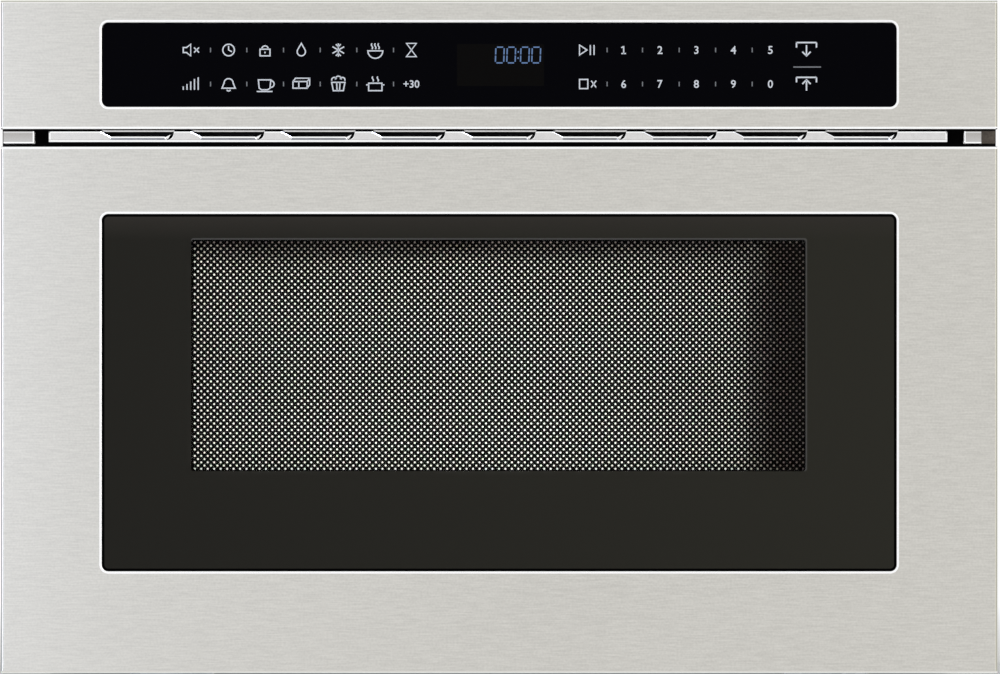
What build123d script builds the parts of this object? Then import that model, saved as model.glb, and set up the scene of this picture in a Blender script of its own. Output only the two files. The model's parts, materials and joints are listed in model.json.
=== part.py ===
from build123d import *
from math import acos, ceil, cos, pi, radians, sin, tan
import os

# Built-in microwave drawer. Millimetres, +X right, +Y to the back, +Z up.
# The origin lies under the middle of the whole unit, on the surface the base runners stand on.

# ---- overall ----
# The cavity is the core; the margins below put the body and both fronts round it, 607 x 590 x 412.5 in all.
side_bay = 46.0                # cavity's clear width to the outside of the body, on each side
rear_bay = 86.0                # cavity's back to the outside of the rear panel
side_overhang = 25.5           # fronts beyond the body, on each side
front_depth = 41.0             # face of the fronts to the face of the front frame
front_top_margin = 4.5         # upper edge of the drawer front above the choke
front_lift = 3.0               # lower edge of the drawer front above the floor
front_gap = 10.7               # air outlet between the two fronts
fascia_height = 78.3
top_setback = 16.5             # body top below the top of the fascia
box_stay = 62.0                # what stays in the cavity of the drawer box when it is fully open

# ---- sheet and walls ----
sheet = 1.0                    # cabinet and cavity steel
skin = 1.2                     # stainless fronts and door steel
edge_radius = 1.5              # rounded front edges of the stainless skins
rim_bevel = 1.1                # bevelled edge of their openings round the glass
running_gap = 0.4              # between sliding channels
glide_gap = 0.3                # under the tray's glides and before the switch plungers
shaft_gap = 0.05               # radial clearance of a turning shaft in its bore
seat_gap = 0.3                 # between pressings that sit one inside the other

# ---- base and frame ----
runner_height = 11.0           # pressed runners under the base plate
runner_x = 200.0
runner_width = 48.0
runner_slope = 8.0
base_lip = 40.0                # top of the base pan's side lips
frame_bottom = 12.0
flange_clearance = 2.0         # joggle of the flange outside the body
frame_corner = 3.0             # cut corners of the mounting flanges
mount_edge = 11.5              # mounting holes from the flange's outer edge, which lies behind the fronts'
mount_low = 60.0
mount_drop = 96.0              # upper mounting holes below the body's top
mount_hole_radius = 2.6
harness_x = -150.0             # cable opening behind the control panel
harness_width = 60.0
harness_height = 24.0
return_width = 15.0            # inward flanges of the side panels
cover_lip = 16.0               # turned-down edges of the top cover
vent_slot = 5.0                # cooling slots in the base, the top and the sides
base_slot_length = 44.0
top_slot_length = 46.0
top_slot_x = -120.0
slot_pitch = 14.0
side_slot_length = 60.0
side_slot_pitch = 9.0
side_slot_setback = 40.0       # first side slot behind the cavity
side_slot_drop = 80.0          # middle of the side slots below the body's top
wall_spacer = 5.0              # pressed studs that keep the rear panel off the wall
spacer_inset = 52.0
spacer_z = 100.0
spacer_base = 13.0
spacer_tip = 8.0

# ---- cavity and drawer box ----
cavity_width = 464.0
cavity_height = 204.0
cavity_depth = 457.0
cavity_floor_z = 98.0
box_side_gap = 6.0             # drawer side to cavity wall
box_wall = 4.0
box_bottom_gap = 2.0
box_top_gap = 10.0
box_back_gap = 15.0
rim_overhang = 3.0
rim_height = 6.0
plate_thickness = 4.0          # ceramic plate and the tray floor below it
tray_rim = 9.0
plate_radius = 8.0             # corners of the tray and of the plate in it
glide_x = 150.0
glide_width = 14.0
glide_clearance = 5.0          # glides behind the front frame with the drawer fully open
glide_inset = 4.0
groove_width = 20.0
groove_depth = 3.0
groove_slope = 2.0
perforation_pitch = 9.0         # lamp and air holes in the cavity sides
perforation_radius = 2.8

# ---- door ----
window_side = 45.4             # perforated field inside the cavity's clear opening
window_bottom = 27.8
window_top = 35.2
glass_side = 55.35             # door glass beyond the perforated field
glass_bottom = 60.8
glass_top = 15.5
glass_thickness = 4.0
glass_radius = 4.0
glass_inset = 0.6              # glass face behind the skin's face
glass_gap = 0.15               # glass to the turned-in lip of the skin
return_depth = 33.0            # depth of the fronts' folded edges
window_margin = 4.0
pan_lip = 16.0                 # depth of the door frame's turned edges
pan_radius = 3.2
screen_thickness = 0.6
screen_overlap = 8.0
door_gap = 1.5                 # back of the choke cover to the front frame
choke_cover_thickness = 1.5
choke_inner_margin = 2.0       # choke channel outside the cavity opening
choke_side_width = 22.0
choke_bottom_width = 20.0
choke_top_width = 15.0
cover_corner = 4.0
comb_pitch = 18.0
comb_slot = 3.0
comb_base = 6.0                # solid foot of the comb below its slots

# ---- touch panel ----
touch_glass_height = 51.2
touch_glass_lift = 13.7        # lower edge of the touch glass above that of the fascia
display_width = 54.0
display_height = 26.0
display_lift = 12.5            # display above the lower edge of the touch glass
housing_inset = 26.0           # housing inside the body, on each side
housing_wall = 2.0
housing_lift = 7.8             # housing above the lower edge of the fascia
housing_height = 52.0
housing_gap = 4.0              # board to the housing's walls
post_pitch = 150.0
post_size = 4.0
board_thickness = 1.6
board_setback = 6.5            # control board behind the touch glass

# ---- vent strip in the gap ----
vent_end_gap = 9.1             # vent strip to the brackets at its ends
vent_setback = 14.0            # face of the strip behind the fronts
vent_drop = 8.0
louver_count = 9
louver_pitch = 55.16
louver_top = 44.2
louver_lead = 6.1              # slope of a slot's left end, in width
louver_tail = 4.4              # and of its right end
slot_height = 2.6
slot_below_top = 1.5
lip_reach = 1.6
lip_height = 1.8
bracket_width = 18.7
bracket_setback = 12.0
pad_clearance = 0.9            # bumper pad below the fascia
pad_width = 8.3
pad_thickness = 1.6

# ---- slides ----
slide_z = 47.0                 # middle of the slides, and the rack's pitch line
slide_height = 45.0
slide_width = 12.7
slide_engagement = 50.0        # what a rail has left in the next one with the drawer fully open
slide_inset = 14.3             # outer face of the fixed rails inside the side panel
slide_lip = 4.0
rail_gauge = 1.2
slide_start = 2.0              # rails' front end behind the front frame
slide_port = 2.5               # opening in the front frame round the rails
carrier_height = 24.0
carrier_width = 9.2
carrier_plate = 34.0           # reach of the carriers' fixing plates on the door frame
carrier_end_gap = 14.0         # rear end of the carriers before that of the rails
tie_end_gap = 5.0
tie_width = 25.0
tie_thickness = 3.0
bracket_length = 40.0
bracket_front_gap = 11.0       # first bracket behind the rails' front end
bracket_rear_gap = 29.0        # second bracket before their rear end

# ---- rack and pinion ----
gear_module = 1.5
pinion_teeth = 20
pressure_angle = 20.0
backlash = 0.16
pinion_setback = 31.0          # pinion's axis behind the front frame
rack_inset = 58.3              # rack inside the right carrier
rack_width = 10.0
rack_spare_teeth = 8           # teeth beyond the stroke, at both ends together
rack_port = 3.0                # opening in the front frame round the rack, at its sides
rack_port_height = 24.0
rack_port_lift = 4.0
pinion_width = 12.0
shaft_radius = 4.0
shaft_length = 20.0
gearbox_width = 25.0
gearbox_half = 24.0
gearbox_rise = 9.0             # top of the gearbox above the rack's pitch line
motor_radius = 17.0
motor_lift = 2.0
motor_length = 66.0

# ---- interlocks ----
hook_inset = 8.0               # latch hooks inside the outside of the body
hook_lift = 6.0                # above the middle of the cavity
hook_thickness = 3.0
hook_height = 20.0
hook_plate = 14.0              # width of a hook's fixing plate
hook_bevel = 6.0
hook_reach = 17.0              # tip behind the front frame's back
plunger_radius = 2.2
plunger_length = 13.0
plunger_stroke = 3.0           # free depth behind the plunger
switch_width = 12.4
switch_height = 40.0
switch_depth = 44.0
switch_mouth = 5.0

# ---- top compartment ----
stirrer_setback = 44.5         # behind the middle of the cavity
well_size = 212.0
well_height = 22.0
well_flange = 8.0
cover_gap = 1.0                # waveguide cover to the well's walls
cover_seat = 6.0               # width of the ceiling's rim that the cover lies on
cover_radius = 10.0
guide_setback = 28.0           # waveguide's front wall behind the stirrer
guide_depth = 44.0
guide_height = 58.0
guide_left = -60.0
guide_right = 110.0
guide_port = 80.0
stirrer_radius = 80.0
stirrer_tilt = 18.0
stirrer_shaft = 3.0
stirrer_motor_radius = 24.0
stirrer_motor_height = 18.0
stirrer_ear = 8.0              # fixing ears beyond the motor's can
stirrer_hub_radius = 9.0
stirrer_hub_height = 10.0
magnetron_size = 80.0
magnetron_length = 76.0
anode_radius = 20.0
antenna_radius = 8.0
antenna_length = 28.0
fin_count = 6
fin_pitch = 9.0
fin_thickness = 0.8
filter_length = 34.0
filter_inset = 12.0
yoke_thickness = 1.5
board_inner_gap = 11.0         # power board to the waveguide's flange
board_outer_gap = 22.0         # and to the side panel
board_length = 200.0
board_setback_y = 40.0         # middle of the power board behind the stirrer
board_height = 6.0             # its posts
board_edge = 6.0
post_radius = 3.5
relay_size = (28.0, 22.0, 16.0)
relay_pitch = 30.0
choke_coil_radius = 11.0
choke_coil_height = 32.0
sink_size = (70.0, 40.0, 3.0)  # heat sink's foot
sink_fin_count = 7
sink_fin_pitch = 11.0
sink_fin = 1.6
sink_fin_height = 40.0
supply_size = (34.0, 50.0, 24.0)

# ---- fan and duct ----
fan_inset = 127.0              # fan's axis inside the right side panel
grille_slot = 4.0              # slots of the fan's intake
fan_radius = 41.0
fan_gap = 1.5
fan_wall = 3.5
shroud_wall = 2.5              # walls of the shroud behind the fan
shroud_radius = 6.0
fan_depth = 67.0
fan_bore_depth = 26.0
strut_setback = 8.0            # struts behind the fan's bore
strut_width = 7.0
strut_thickness = 4.0
fan_motor_size = (46.0, 40.0, 18.0)
fan_coil_size = (28.0, 20.0, 24.0)
fan_coil_drop = 8.0
fan_hub = 16.0
fan_blades = 5
fan_shaft = 2.5
fan_pitch = 38.0               # blade angle from the plane of rotation
blade_root = 1.5               # blade sunk in the hub
blade_chord = 20.0
blade_thickness = 1.4
blade_camber = 1.6
duct_wall = 2.0
duct_inlet_width = 150.0
duct_inlet_height = 70.0
duct_outlet_height = 29.0
duct_side_gap = 15.0           # duct to the side panels
duct_gap = 1.0                 # duct to the waveguide's flange

# ---- rear compartment and lamp ----
core_width = 100.0
core_depth = 44.0
core_height = 82.0
core_inset = 97.0              # middle of the transformer inside the left side panel
core_window = 20.0
core_leg = 15.0
core_foot = 12.0               # reach of the fixing foot beyond the core
foot_thickness = 2.0
winding_overhang = 15.0
winding_gap = 4.5              # windings to the rear panel
capacitor_offset = 120.0       # capacitor's middle from the transformer's
capacitor_width = 92.0
capacitor_depth = 52.0
capacitor_height = 96.0
terminal_offset = 15.0
terminal_size = 14.0
terminal_height = 6.0
tab_size = (6.0, 0.8, 16.0)    # plug tabs on the capacitor's terminals
lamp_setback = 213.0           # lamp behind the front frame
lamp_drop = 40.0               # and below the cavity's ceiling
lamp_radius = 11.0
lamp_neck = 4.2                # bulb's neck inside its widest radius
lamp_socket_lift = 8.0         # lower end of the lamp's socket above the bulb's widest part
lamp_socket_height = 18.0
lamp_cap_height = 5.0
lamp_bulb_drop = 18.0          # lowest point of the bulb below its widest part's middle
lamp_arm = 16.0
lamp_arm_thickness = 2.0
gland_inset = 37.0             # cord gland inside the left side panel
gland_z = 60.0
gland_radius = 9.0             # neck in the rear panel's hole
gland_flange = 14.0
gland_bore = 4.6               # passage for the supply cord
gland_inside = 6.0
gland_outside = 3.5
screw_low = 80.0
screw_drop = 66.0              # upper case screws below the body's top
screw_radius = 2.0
screw_length = 8.0
screw_head = 3.5               # half the width across the flats of the screws' hexagon heads
screw_head_height = 2.2

# ---- places worked out from the sizes above ----
body_width = cavity_width + 2 * side_bay
front_width = body_width + 2 * side_overhang
overall_depth = front_depth + sheet + cavity_depth + rear_bay + wall_spacer
travel = cavity_depth - box_back_gap - box_stay
front_y = -overall_depth / 2
frame_y = front_y + front_depth
frame_back = frame_y + sheet
flange_back = frame_back + sheet
rear_face = overall_depth / 2 - wall_spacer
cavity_top = cavity_floor_z + cavity_height
cavity_back = frame_back + cavity_depth
cavity_half = cavity_width / 2
choke_half = cavity_half + choke_inner_margin
choke_low = cavity_floor_z - choke_inner_margin
choke_high = cavity_top + choke_inner_margin
comb_half = choke_half + choke_side_width
comb_low = choke_low - choke_bottom_width
comb_high = choke_high + choke_top_width
drawer_top = comb_high + front_top_margin
drawer_front_height = drawer_top - front_lift
fascia_z = drawer_top + front_gap
fascia_top = fascia_z + fascia_height
body_top = fascia_top - top_setback
side_inner = body_width / 2 - sheet
side_length = rear_face - sheet - frame_back
base_top = runner_height + sheet
mount_x = front_width / 2 - mount_edge
window_width = cavity_width - 2 * window_side
window_height = cavity_height - window_bottom - window_top
window_z = cavity_floor_z + window_bottom
glass_width = window_width + 2 * glass_side
door_glass_z = window_z - glass_bottom
door_glass_height = glass_bottom + window_height + glass_top
touch_glass_z = fascia_z + touch_glass_lift
display_z = touch_glass_z + display_lift
housing_width = body_width - 2 * housing_inset
housing_z = fascia_z + housing_lift
glass_back = front_y + glass_inset + glass_thickness
plate_back = glass_back + skin
door_back = frame_y - door_gap - choke_cover_thickness
box_half = cavity_half - box_side_gap
box_inner = box_half - box_wall
box_bottom = cavity_floor_z + box_bottom_gap
box_top = cavity_top - box_top_gap
box_back = cavity_back - box_back_gap
slide_length = travel + slide_engagement
slide_front = frame_back + slide_start
slide_end = slide_front + slide_length
slide_back_x = side_inner - slide_inset
mid_inset = rail_gauge + running_gap
inner_inset = 2 * mid_inset
carrier_x = slide_back_x - inner_inset - rail_gauge
carrier_rear = slide_end - carrier_end_gap
tie_front = carrier_rear - tie_end_gap - tie_width
bracket_places = (slide_front + bracket_front_gap, slide_end - bracket_rear_gap - bracket_length)
pitch_radius = gear_module * pinion_teeth / 2
pinion_y = frame_back + pinion_setback
pinion_z = slide_z - pitch_radius
tooth_pitch = pi * gear_module
rack_teeth = ceil(travel / tooth_pitch) + rack_spare_teeth
rack_x = carrier_x - rack_inset
gearbox_top = slide_z + gearbox_rise
hook_x = body_width / 2 - hook_inset
hook_z = cavity_floor_z + cavity_height / 2 + hook_lift
fascia_bracket_inner = front_width / 2 - skin - bracket_width
vent_width = 2 * (fascia_bracket_inner - vent_end_gap)
vent_y = front_y + vent_setback
vent_z = fascia_z - vent_drop
magnetron_z = body_top - sheet - cover_gap - magnetron_size / 2
ceiling_top = cavity_top + sheet
stirrer_y = (frame_back + cavity_back) / 2 + stirrer_setback
cover_size = well_size - 2 * sheet - 2 * cover_gap
ceiling_opening = cover_size - 2 * cover_seat
guide_y = stirrer_y + guide_setback
well_edge = well_size / 2 + well_flange
well_top = ceiling_top + well_height
guide_z = well_top + guide_height / 2
fan_half = fan_radius + fan_gap + fan_wall
fan_x = side_inner - fan_inset
fan_z = body_top - sheet - cover_gap - fan_half
fan_front = rear_face - sheet - fan_depth
duct_width = 2 * (side_inner - duct_side_gap)
duct_rear = stirrer_y - well_edge - duct_gap
core_x = -side_inner + core_inset
core_y = rear_face - sheet - winding_gap - winding_overhang - core_depth / 2
capacitor_x = core_x + capacitor_offset
lamp_y = frame_back + lamp_setback
lamp_z = cavity_top - lamp_drop
gland_x = -side_inner + gland_inset
screw_x = side_inner - return_width / 2 + sheet / 2
screw_levels = (screw_low, body_top - screw_drop)
shaft_end_x = rack_x + pinion_width + shaft_length


def at_y(y):
    """Plane facing the front at depth y, with X to the right and Z up."""
    return Plane.XZ.offset(-y)


def block(x_span, y_span, z_span, mode=Mode.ADD):
    """Straight block between two limits on each axis."""
    spans = (x_span, y_span, z_span)
    with Locations(tuple((low + high) / 2 for low, high in spans)):
        Box(*(high - low for low, high in spans), mode=mode)


def bent_sheet(plane, points, width, gauge=sheet):
    """Folded metal: the line is one face of the section, the metal lies to its left."""
    with BuildSketch(plane) as section:
        with BuildLine():
            Polyline(*points)
            offset(amount=gauge, side=Side.LEFT)
        make_face()
    extrude(section.sketch, amount=width)


def plate_on(plane, width, height, middle, thickness, radius=0.0, mode=Mode.ADD):
    """Flat plate or pocket on a plane, with its middle given in the plane's own axes."""
    with BuildSketch(plane) as outline:
        with Locations(middle):
            if radius > 0:
                RectangleRounded(width, height, radius)
            else:
                Rectangle(width, height)
    extrude(outline.sketch, amount=thickness, mode=mode)


def plate_hole(y, middle, radius):
    """Clearance hole for a fastener or a gland, cut towards the front from depth y."""
    with BuildSketch(at_y(y)) as hole:
        with Locations(middle):
            RegularPolygon(radius, 12)
    extrude(hole.sketch, amount=4 * sheet, mode=Mode.SUBTRACT)


def front_skin(bottom, height, glass_bottom, glass_height):
    """Stainless front: face, folded edges, and an opening whose edge is turned in round the glass."""
    middle = (0, bottom + height / 2)
    glass_middle = (0, glass_bottom + glass_height / 2)
    opening = (glass_width + 2 * glass_gap, glass_height + 2 * glass_gap)
    plate_on(at_y(front_y + return_depth), front_width, height, middle, return_depth)
    fillet(faces().sort_by(Axis.Y)[0].edges(), edge_radius)
    plate_on(at_y(front_y + return_depth), front_width - 2 * skin, height - 2 * skin, middle,
             return_depth - skin, mode=Mode.SUBTRACT)
    plate_on(at_y(glass_back), opening[0] + 2 * skin, opening[1] + 2 * skin, glass_middle,
             glass_back - front_y - skin / 2, glass_radius + skin)
    plate_on(at_y(glass_back), *opening, glass_middle, glass_back - front_y, glass_radius,
             mode=Mode.SUBTRACT)
    chamfer(faces().sort_by(Axis.Y)[0].inner_wires()[0].edges(), rim_bevel)


def glass_pane(bottom, height):
    """Pane that fills a front's opening to within the glass gap."""
    plate_on(at_y(glass_back), glass_width, height, (0, bottom + height / 2), glass_thickness,
             glass_radius - glass_gap)


# ---- cabinet ----
with BuildPart() as base_pan:
    half = side_inner
    left = [(-runner_x - runner_width / 2 - runner_slope, runner_height), (-runner_x - runner_width / 2, 0),
            (-runner_x + runner_width / 2, 0), (-runner_x + runner_width / 2 + runner_slope, runner_height)]
    right = [(-x, z) for x, z in reversed(left)]
    line = [(-half, base_lip), (-half, runner_height), *left, *right, (half, runner_height),
            (half, base_lip)]
    bent_sheet(at_y(frame_back + side_length - sheet), line, side_length - 2 * sheet)
    with Locations((0, cavity_back, runner_height)):
        with GridLocations(slot_pitch, base_slot_length + 3 * vent_slot, 10, 2):
            Box(vent_slot, base_slot_length, 4 * sheet, mode=Mode.SUBTRACT)

with BuildPart() as side_panel_left:
    flange_inner = side_inner - return_width
    line = [(-flange_inner, frame_back + sheet), (-side_inner, frame_back + sheet),
            (-side_inner, frame_back + side_length - sheet),
            (-flange_inner, frame_back + side_length - sheet)]
    bent_sheet(Plane.XY.offset(runner_height), line, body_top - sheet - runner_height)
    block((-side_inner + seat_gap, -flange_inner + sheet), (frame_y, frame_back + 2 * sheet),
          (hook_z - switch_height / 2 - sheet, hook_z + switch_height / 2 + sheet), mode=Mode.SUBTRACT)
    with Locations((-side_inner, cavity_back + side_slot_setback, body_top - side_slot_drop)):
        with GridLocations(8 * sheet, side_slot_pitch, 1, 6):
            Box(4 * sheet, vent_slot - sheet, side_slot_length, mode=Mode.SUBTRACT)
    for level in screw_levels:
        plate_hole(rear_face + sheet, (-screw_x, level), screw_radius + shaft_gap)

with BuildPart() as side_panel_right:
    mirror(side_panel_left.part, about=Plane.YZ)

with BuildPart() as top_cover:
    line = [(-body_width / 2, body_top - cover_lip), (-body_width / 2, body_top - sheet),
            (body_width / 2, body_top - sheet), (body_width / 2, body_top - cover_lip)]
    bent_sheet(at_y(rear_face - sheet), line, rear_face - sheet - frame_back)
    with Locations((top_slot_x, cavity_back - top_slot_length - slot_pitch, body_top)):
        with GridLocations(slot_pitch, top_slot_length + slot_pitch, 8, 2):
            Box(vent_slot, top_slot_length, 4 * sheet, mode=Mode.SUBTRACT)

with BuildPart() as rear_panel:
    panel_height = body_top - runner_height
    plate_on(at_y(rear_face), 2 * side_inner, panel_height, (0, runner_height + panel_height / 2), sheet)
    back = Plane(origin=(0, rear_face, runner_height + panel_height / 2), x_dir=(1, 0, 0), z_dir=(0, 1, 0))
    for x in (spacer_inset - side_inner, side_inner - spacer_inset):
        for z in (-spacer_z, spacer_z):
            for inset, mode in ((0, Mode.ADD), (sheet, Mode.SUBTRACT)):
                for lift, radius in ((0, spacer_base), (wall_spacer, spacer_tip)):
                    with BuildSketch(back.offset(lift - inset)):
                        with Locations((x, z)):
                            RegularPolygon(radius - inset, 12)
                loft(ruled=True, mode=mode)
    with Locations((fan_x, rear_face - sheet / 2, fan_z)):
        with GridLocations(2 * grille_slot, 1, 10, 1):
            with Locations((0, 0, fan_radius / 2), (0, 0, -fan_radius / 2)):
                Box(grille_slot, 4 * sheet, fan_radius - vent_slot, mode=Mode.SUBTRACT)
    for side in (-1, 1):
        for level in screw_levels:
            plate_hole(rear_face + sheet, (side * screw_x, level), screw_radius + shaft_gap)
    plate_hole(rear_face + sheet, (gland_x, gland_z), gland_radius)

with BuildPart() as cord_gland:
    for y, length, radius in ((rear_face - sheet, gland_inside - sheet, gland_flange - 2 * sheet),
                              (rear_face, sheet, gland_radius - shaft_gap),
                              (rear_face + gland_outside, gland_outside, gland_flange)):
        with BuildSketch(at_y(y)) as ring:
            with Locations((gland_x, gland_z)):
                RegularPolygon(radius, 12)
        extrude(ring.sketch, amount=length)
    chamfer(faces().sort_by(Axis.Y)[-1].edges(), gland_outside / 2)
    with Locations((gland_x, rear_face, gland_z)):
        Cylinder(gland_bore, 4 * gland_inside, rotation=(90, 0, 0), mode=Mode.SUBTRACT)

with BuildPart() as front_frame:
    frame_height = body_top - frame_bottom
    mid_z = frame_bottom + frame_height / 2
    joggle_x = body_width / 2 + flange_clearance
    flange_edge = front_width / 2
    with BuildSketch(at_y(frame_back)) as face_sheet:
        with Locations((0, mid_z)):
            Rectangle(2 * (joggle_x + sheet), frame_height)
        with Locations((0, cavity_floor_z + cavity_height / 2)):
            Rectangle(cavity_width, cavity_height, mode=Mode.SUBTRACT)
        for side in (-1, 1):
            with Locations((side * (slide_back_x - slide_width / 2), slide_z)):
                Rectangle(slide_width + 2 * slide_port, slide_height + 2 * slide_port, mode=Mode.SUBTRACT)
            with Locations((side * hook_x, hook_z)):
                Rectangle(hook_thickness * 2, hook_height + 4 * sheet, mode=Mode.SUBTRACT)
        with Locations((rack_x + rack_width / 2, slide_z + rack_port_lift)):
            Rectangle(rack_width + 2 * rack_port, rack_port_height, mode=Mode.SUBTRACT)
        with Locations((0, vent_z + vent_drop / 2)):
            with GridLocations(louver_pitch, 1, louver_count, 1):
                Rectangle(louver_top, vent_drop - 4 * sheet, mode=Mode.SUBTRACT)
        with Locations((harness_x, housing_z + housing_height / 2)):
            Rectangle(harness_width, harness_height, mode=Mode.SUBTRACT)
    extrude(face_sheet.sketch, amount=sheet)
    with BuildSketch(at_y(flange_back)) as flanges:
        with GridLocations(joggle_x + flange_edge, 1, 2, 1):
            with Locations((0, mid_z)):
                Rectangle(flange_edge - joggle_x, frame_height)
        chamfer(flanges.vertices(), frame_corner)
        for side in (-1, 1):
            with Locations((side * mount_x, mount_low), (side * mount_x, body_top - mount_drop)):
                Circle(mount_hole_radius, mode=Mode.SUBTRACT)
    extrude(flanges.sketch, amount=sheet)

# ---- cavity ----
with BuildPart() as cavity_floor:
    low = cavity_floor_z - sheet
    groove_left, groove_right = glide_x - groove_width / 2, glide_x + groove_width / 2
    groove = [(groove_left - groove_slope, low), (groove_left, low - groove_depth),
              (groove_right, low - groove_depth), (groove_right + groove_slope, low)]
    line = [(-cavity_half - sheet, low), *[(-x, z) for x, z in reversed(groove)], *groove,
            (cavity_half + sheet, low)]
    bent_sheet(at_y(cavity_back + sheet), line, cavity_depth + sheet)

with BuildPart() as cavity_ceiling:
    block((-cavity_half - sheet, cavity_half + sheet), (frame_back, cavity_back + sheet),
          (cavity_top, ceiling_top))
    block((-ceiling_opening / 2, ceiling_opening / 2),
          (stirrer_y - ceiling_opening / 2, stirrer_y + ceiling_opening / 2),
          (cavity_top - sheet, ceiling_top + sheet), mode=Mode.SUBTRACT)

cavity_sides = {}
for side, name in ((-1, "cavity_side_left"), (1, "cavity_side_right")):
    with BuildPart() as cavity_side:
        x_span = sorted((side * cavity_half, side * (cavity_half + sheet)))
        block(x_span, (frame_back, cavity_back), (cavity_floor_z, cavity_top))
        with BuildSketch(Plane.YZ.offset(x_span[0])):
            with Locations((lamp_y, lamp_z - 12)):
                with GridLocations(perforation_pitch, perforation_pitch, 4, 3):
                    RegularPolygon(perforation_radius, 6)
        extrude(amount=sheet, mode=Mode.SUBTRACT)
    cavity_sides[name] = cavity_side

with BuildPart() as cavity_rear:
    middle = (0, cavity_floor_z + cavity_height / 2)
    plate_on(at_y(cavity_back + sheet), cavity_width, cavity_height, middle, sheet)
    plate_on(at_y(cavity_back + sheet + 3), cavity_width - 90, cavity_height - 70, middle, 3, 12)
    plate_on(at_y(cavity_back + 3), cavity_width - 90 - 2 * sheet, cavity_height - 70 - 2 * sheet, middle,
             3, 12 - sheet, mode=Mode.SUBTRACT)

with BuildPart() as waveguide:
    half = well_size / 2
    block((-half, half), (stirrer_y - half, stirrer_y + half), (ceiling_top, well_top))
    block((-half - well_flange, half + well_flange),
          (stirrer_y - half - well_flange, stirrer_y + half + well_flange),
          (ceiling_top, ceiling_top + sheet))
    block((-half + sheet, half - sheet), (stirrer_y - half + sheet, stirrer_y + half - sheet),
          (ceiling_top, well_top - sheet), mode=Mode.SUBTRACT)
    block((guide_left, guide_right), (guide_y, guide_y + guide_depth), (well_top, well_top + guide_height))
    block((guide_left + sheet, guide_right - sheet), (guide_y + sheet, guide_y + guide_depth - sheet),
          (well_top + sheet, well_top + guide_height - sheet), mode=Mode.SUBTRACT)
    block((-guide_port / 2, guide_port / 2), (guide_y + 6, guide_y + guide_depth - 6),
          (well_top - 2 * sheet, well_top + 2 * sheet), mode=Mode.SUBTRACT)
    with Locations((0, stirrer_y, well_top)):
        Cylinder(6, 4 * sheet, mode=Mode.SUBTRACT)
    with Locations((guide_right, guide_y + guide_depth / 2, magnetron_z)):
        Cylinder(antenna_radius + 2, 4 * sheet, rotation=(0, 90, 0), mode=Mode.SUBTRACT)

with BuildPart() as waveguide_cover:
    with BuildSketch(Plane.XY.offset(ceiling_top)):
        with Locations((0, stirrer_y)):
            RectangleRounded(cover_size, cover_size, cover_radius)
    extrude(amount=sheet)

with BuildPart() as stirrer_motor:
    with BuildSketch(Plane.XY.offset(well_top)):
        with Locations((0, stirrer_y)):
            RegularPolygon(stirrer_motor_radius, 16)
            Rectangle(2 * (stirrer_motor_radius + stirrer_ear), 1.5 * stirrer_ear)
    extrude(amount=1.5 * sheet)
    with BuildSketch(Plane.XY.offset(well_top)):
        with Locations((0, stirrer_y)):
            RegularPolygon(stirrer_motor_radius, 16)
    extrude(amount=stirrer_motor_height)
    with Locations((0, stirrer_y, well_top)):
        Cylinder(stirrer_shaft + shaft_gap, 2 * (stirrer_motor_height - 4), mode=Mode.SUBTRACT)

stirrer_z = ceiling_top + well_height / 2
with BuildPart() as stirrer_fan:
    for blade in range(4):
        turn = radians(45 + 90 * blade)
        tilt = radians(stirrer_tilt)
        vane = Plane(origin=(0, stirrer_y, stirrer_z), x_dir=(cos(turn), sin(turn), 0),
                     z_dir=(sin(turn) * sin(tilt), -cos(turn) * sin(tilt), cos(tilt)))
        with BuildSketch(vane):
            with BuildLine():
                Polyline((4, -8), (stirrer_radius - 18, -18), (stirrer_radius, -10), (stirrer_radius, 10),
                         (stirrer_radius - 18, 18), (4, 8), close=True)
            make_face()
        extrude(amount=0.4, both=True)
    with Locations((0, stirrer_y, stirrer_z)):
        Cylinder(stirrer_hub_radius, stirrer_hub_height)
    with Locations((0, stirrer_y, stirrer_z)):
        Cylinder(stirrer_shaft, well_top + stirrer_motor_height - 6 - stirrer_z,
                 align=(Align.CENTER, Align.CENTER, Align.MIN))

with BuildPart() as magnetron:
    axis_y = guide_y + guide_depth / 2
    half = magnetron_size / 2
    low, high = magnetron_z - half, magnetron_z + half
    yoke_end = guide_right + magnetron_length
    plate_on(at_y(axis_y + half), magnetron_length, magnetron_size,
             (guide_right + magnetron_length / 2, magnetron_z), magnetron_size)
    plate_on(at_y(axis_y + half), magnetron_length - 2 * yoke_thickness, magnetron_size - 2 * yoke_thickness,
             (guide_right + magnetron_length / 2, magnetron_z), magnetron_size, mode=Mode.SUBTRACT)
    block((yoke_end, yoke_end + filter_length), (axis_y - half + filter_inset, axis_y + half - filter_inset),
          (low + filter_inset, high - filter_inset))
    with BuildSketch(Plane.YZ.offset(guide_right)):
        with Locations((axis_y, magnetron_z)):
            RegularPolygon(anode_radius, 8)
    extrude(amount=magnetron_length)
    with Locations((guide_right + magnetron_length / 2, axis_y, magnetron_z)):
        with GridLocations(fin_pitch, 1, fin_count, 1):
            Box(fin_thickness, magnetron_size - fin_pitch, magnetron_size - 2 * yoke_thickness)
    with Locations((guide_right - antenna_length / 2, axis_y, magnetron_z)):
        Cylinder(antenna_radius, antenna_length, rotation=(0, 90, 0))

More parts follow.
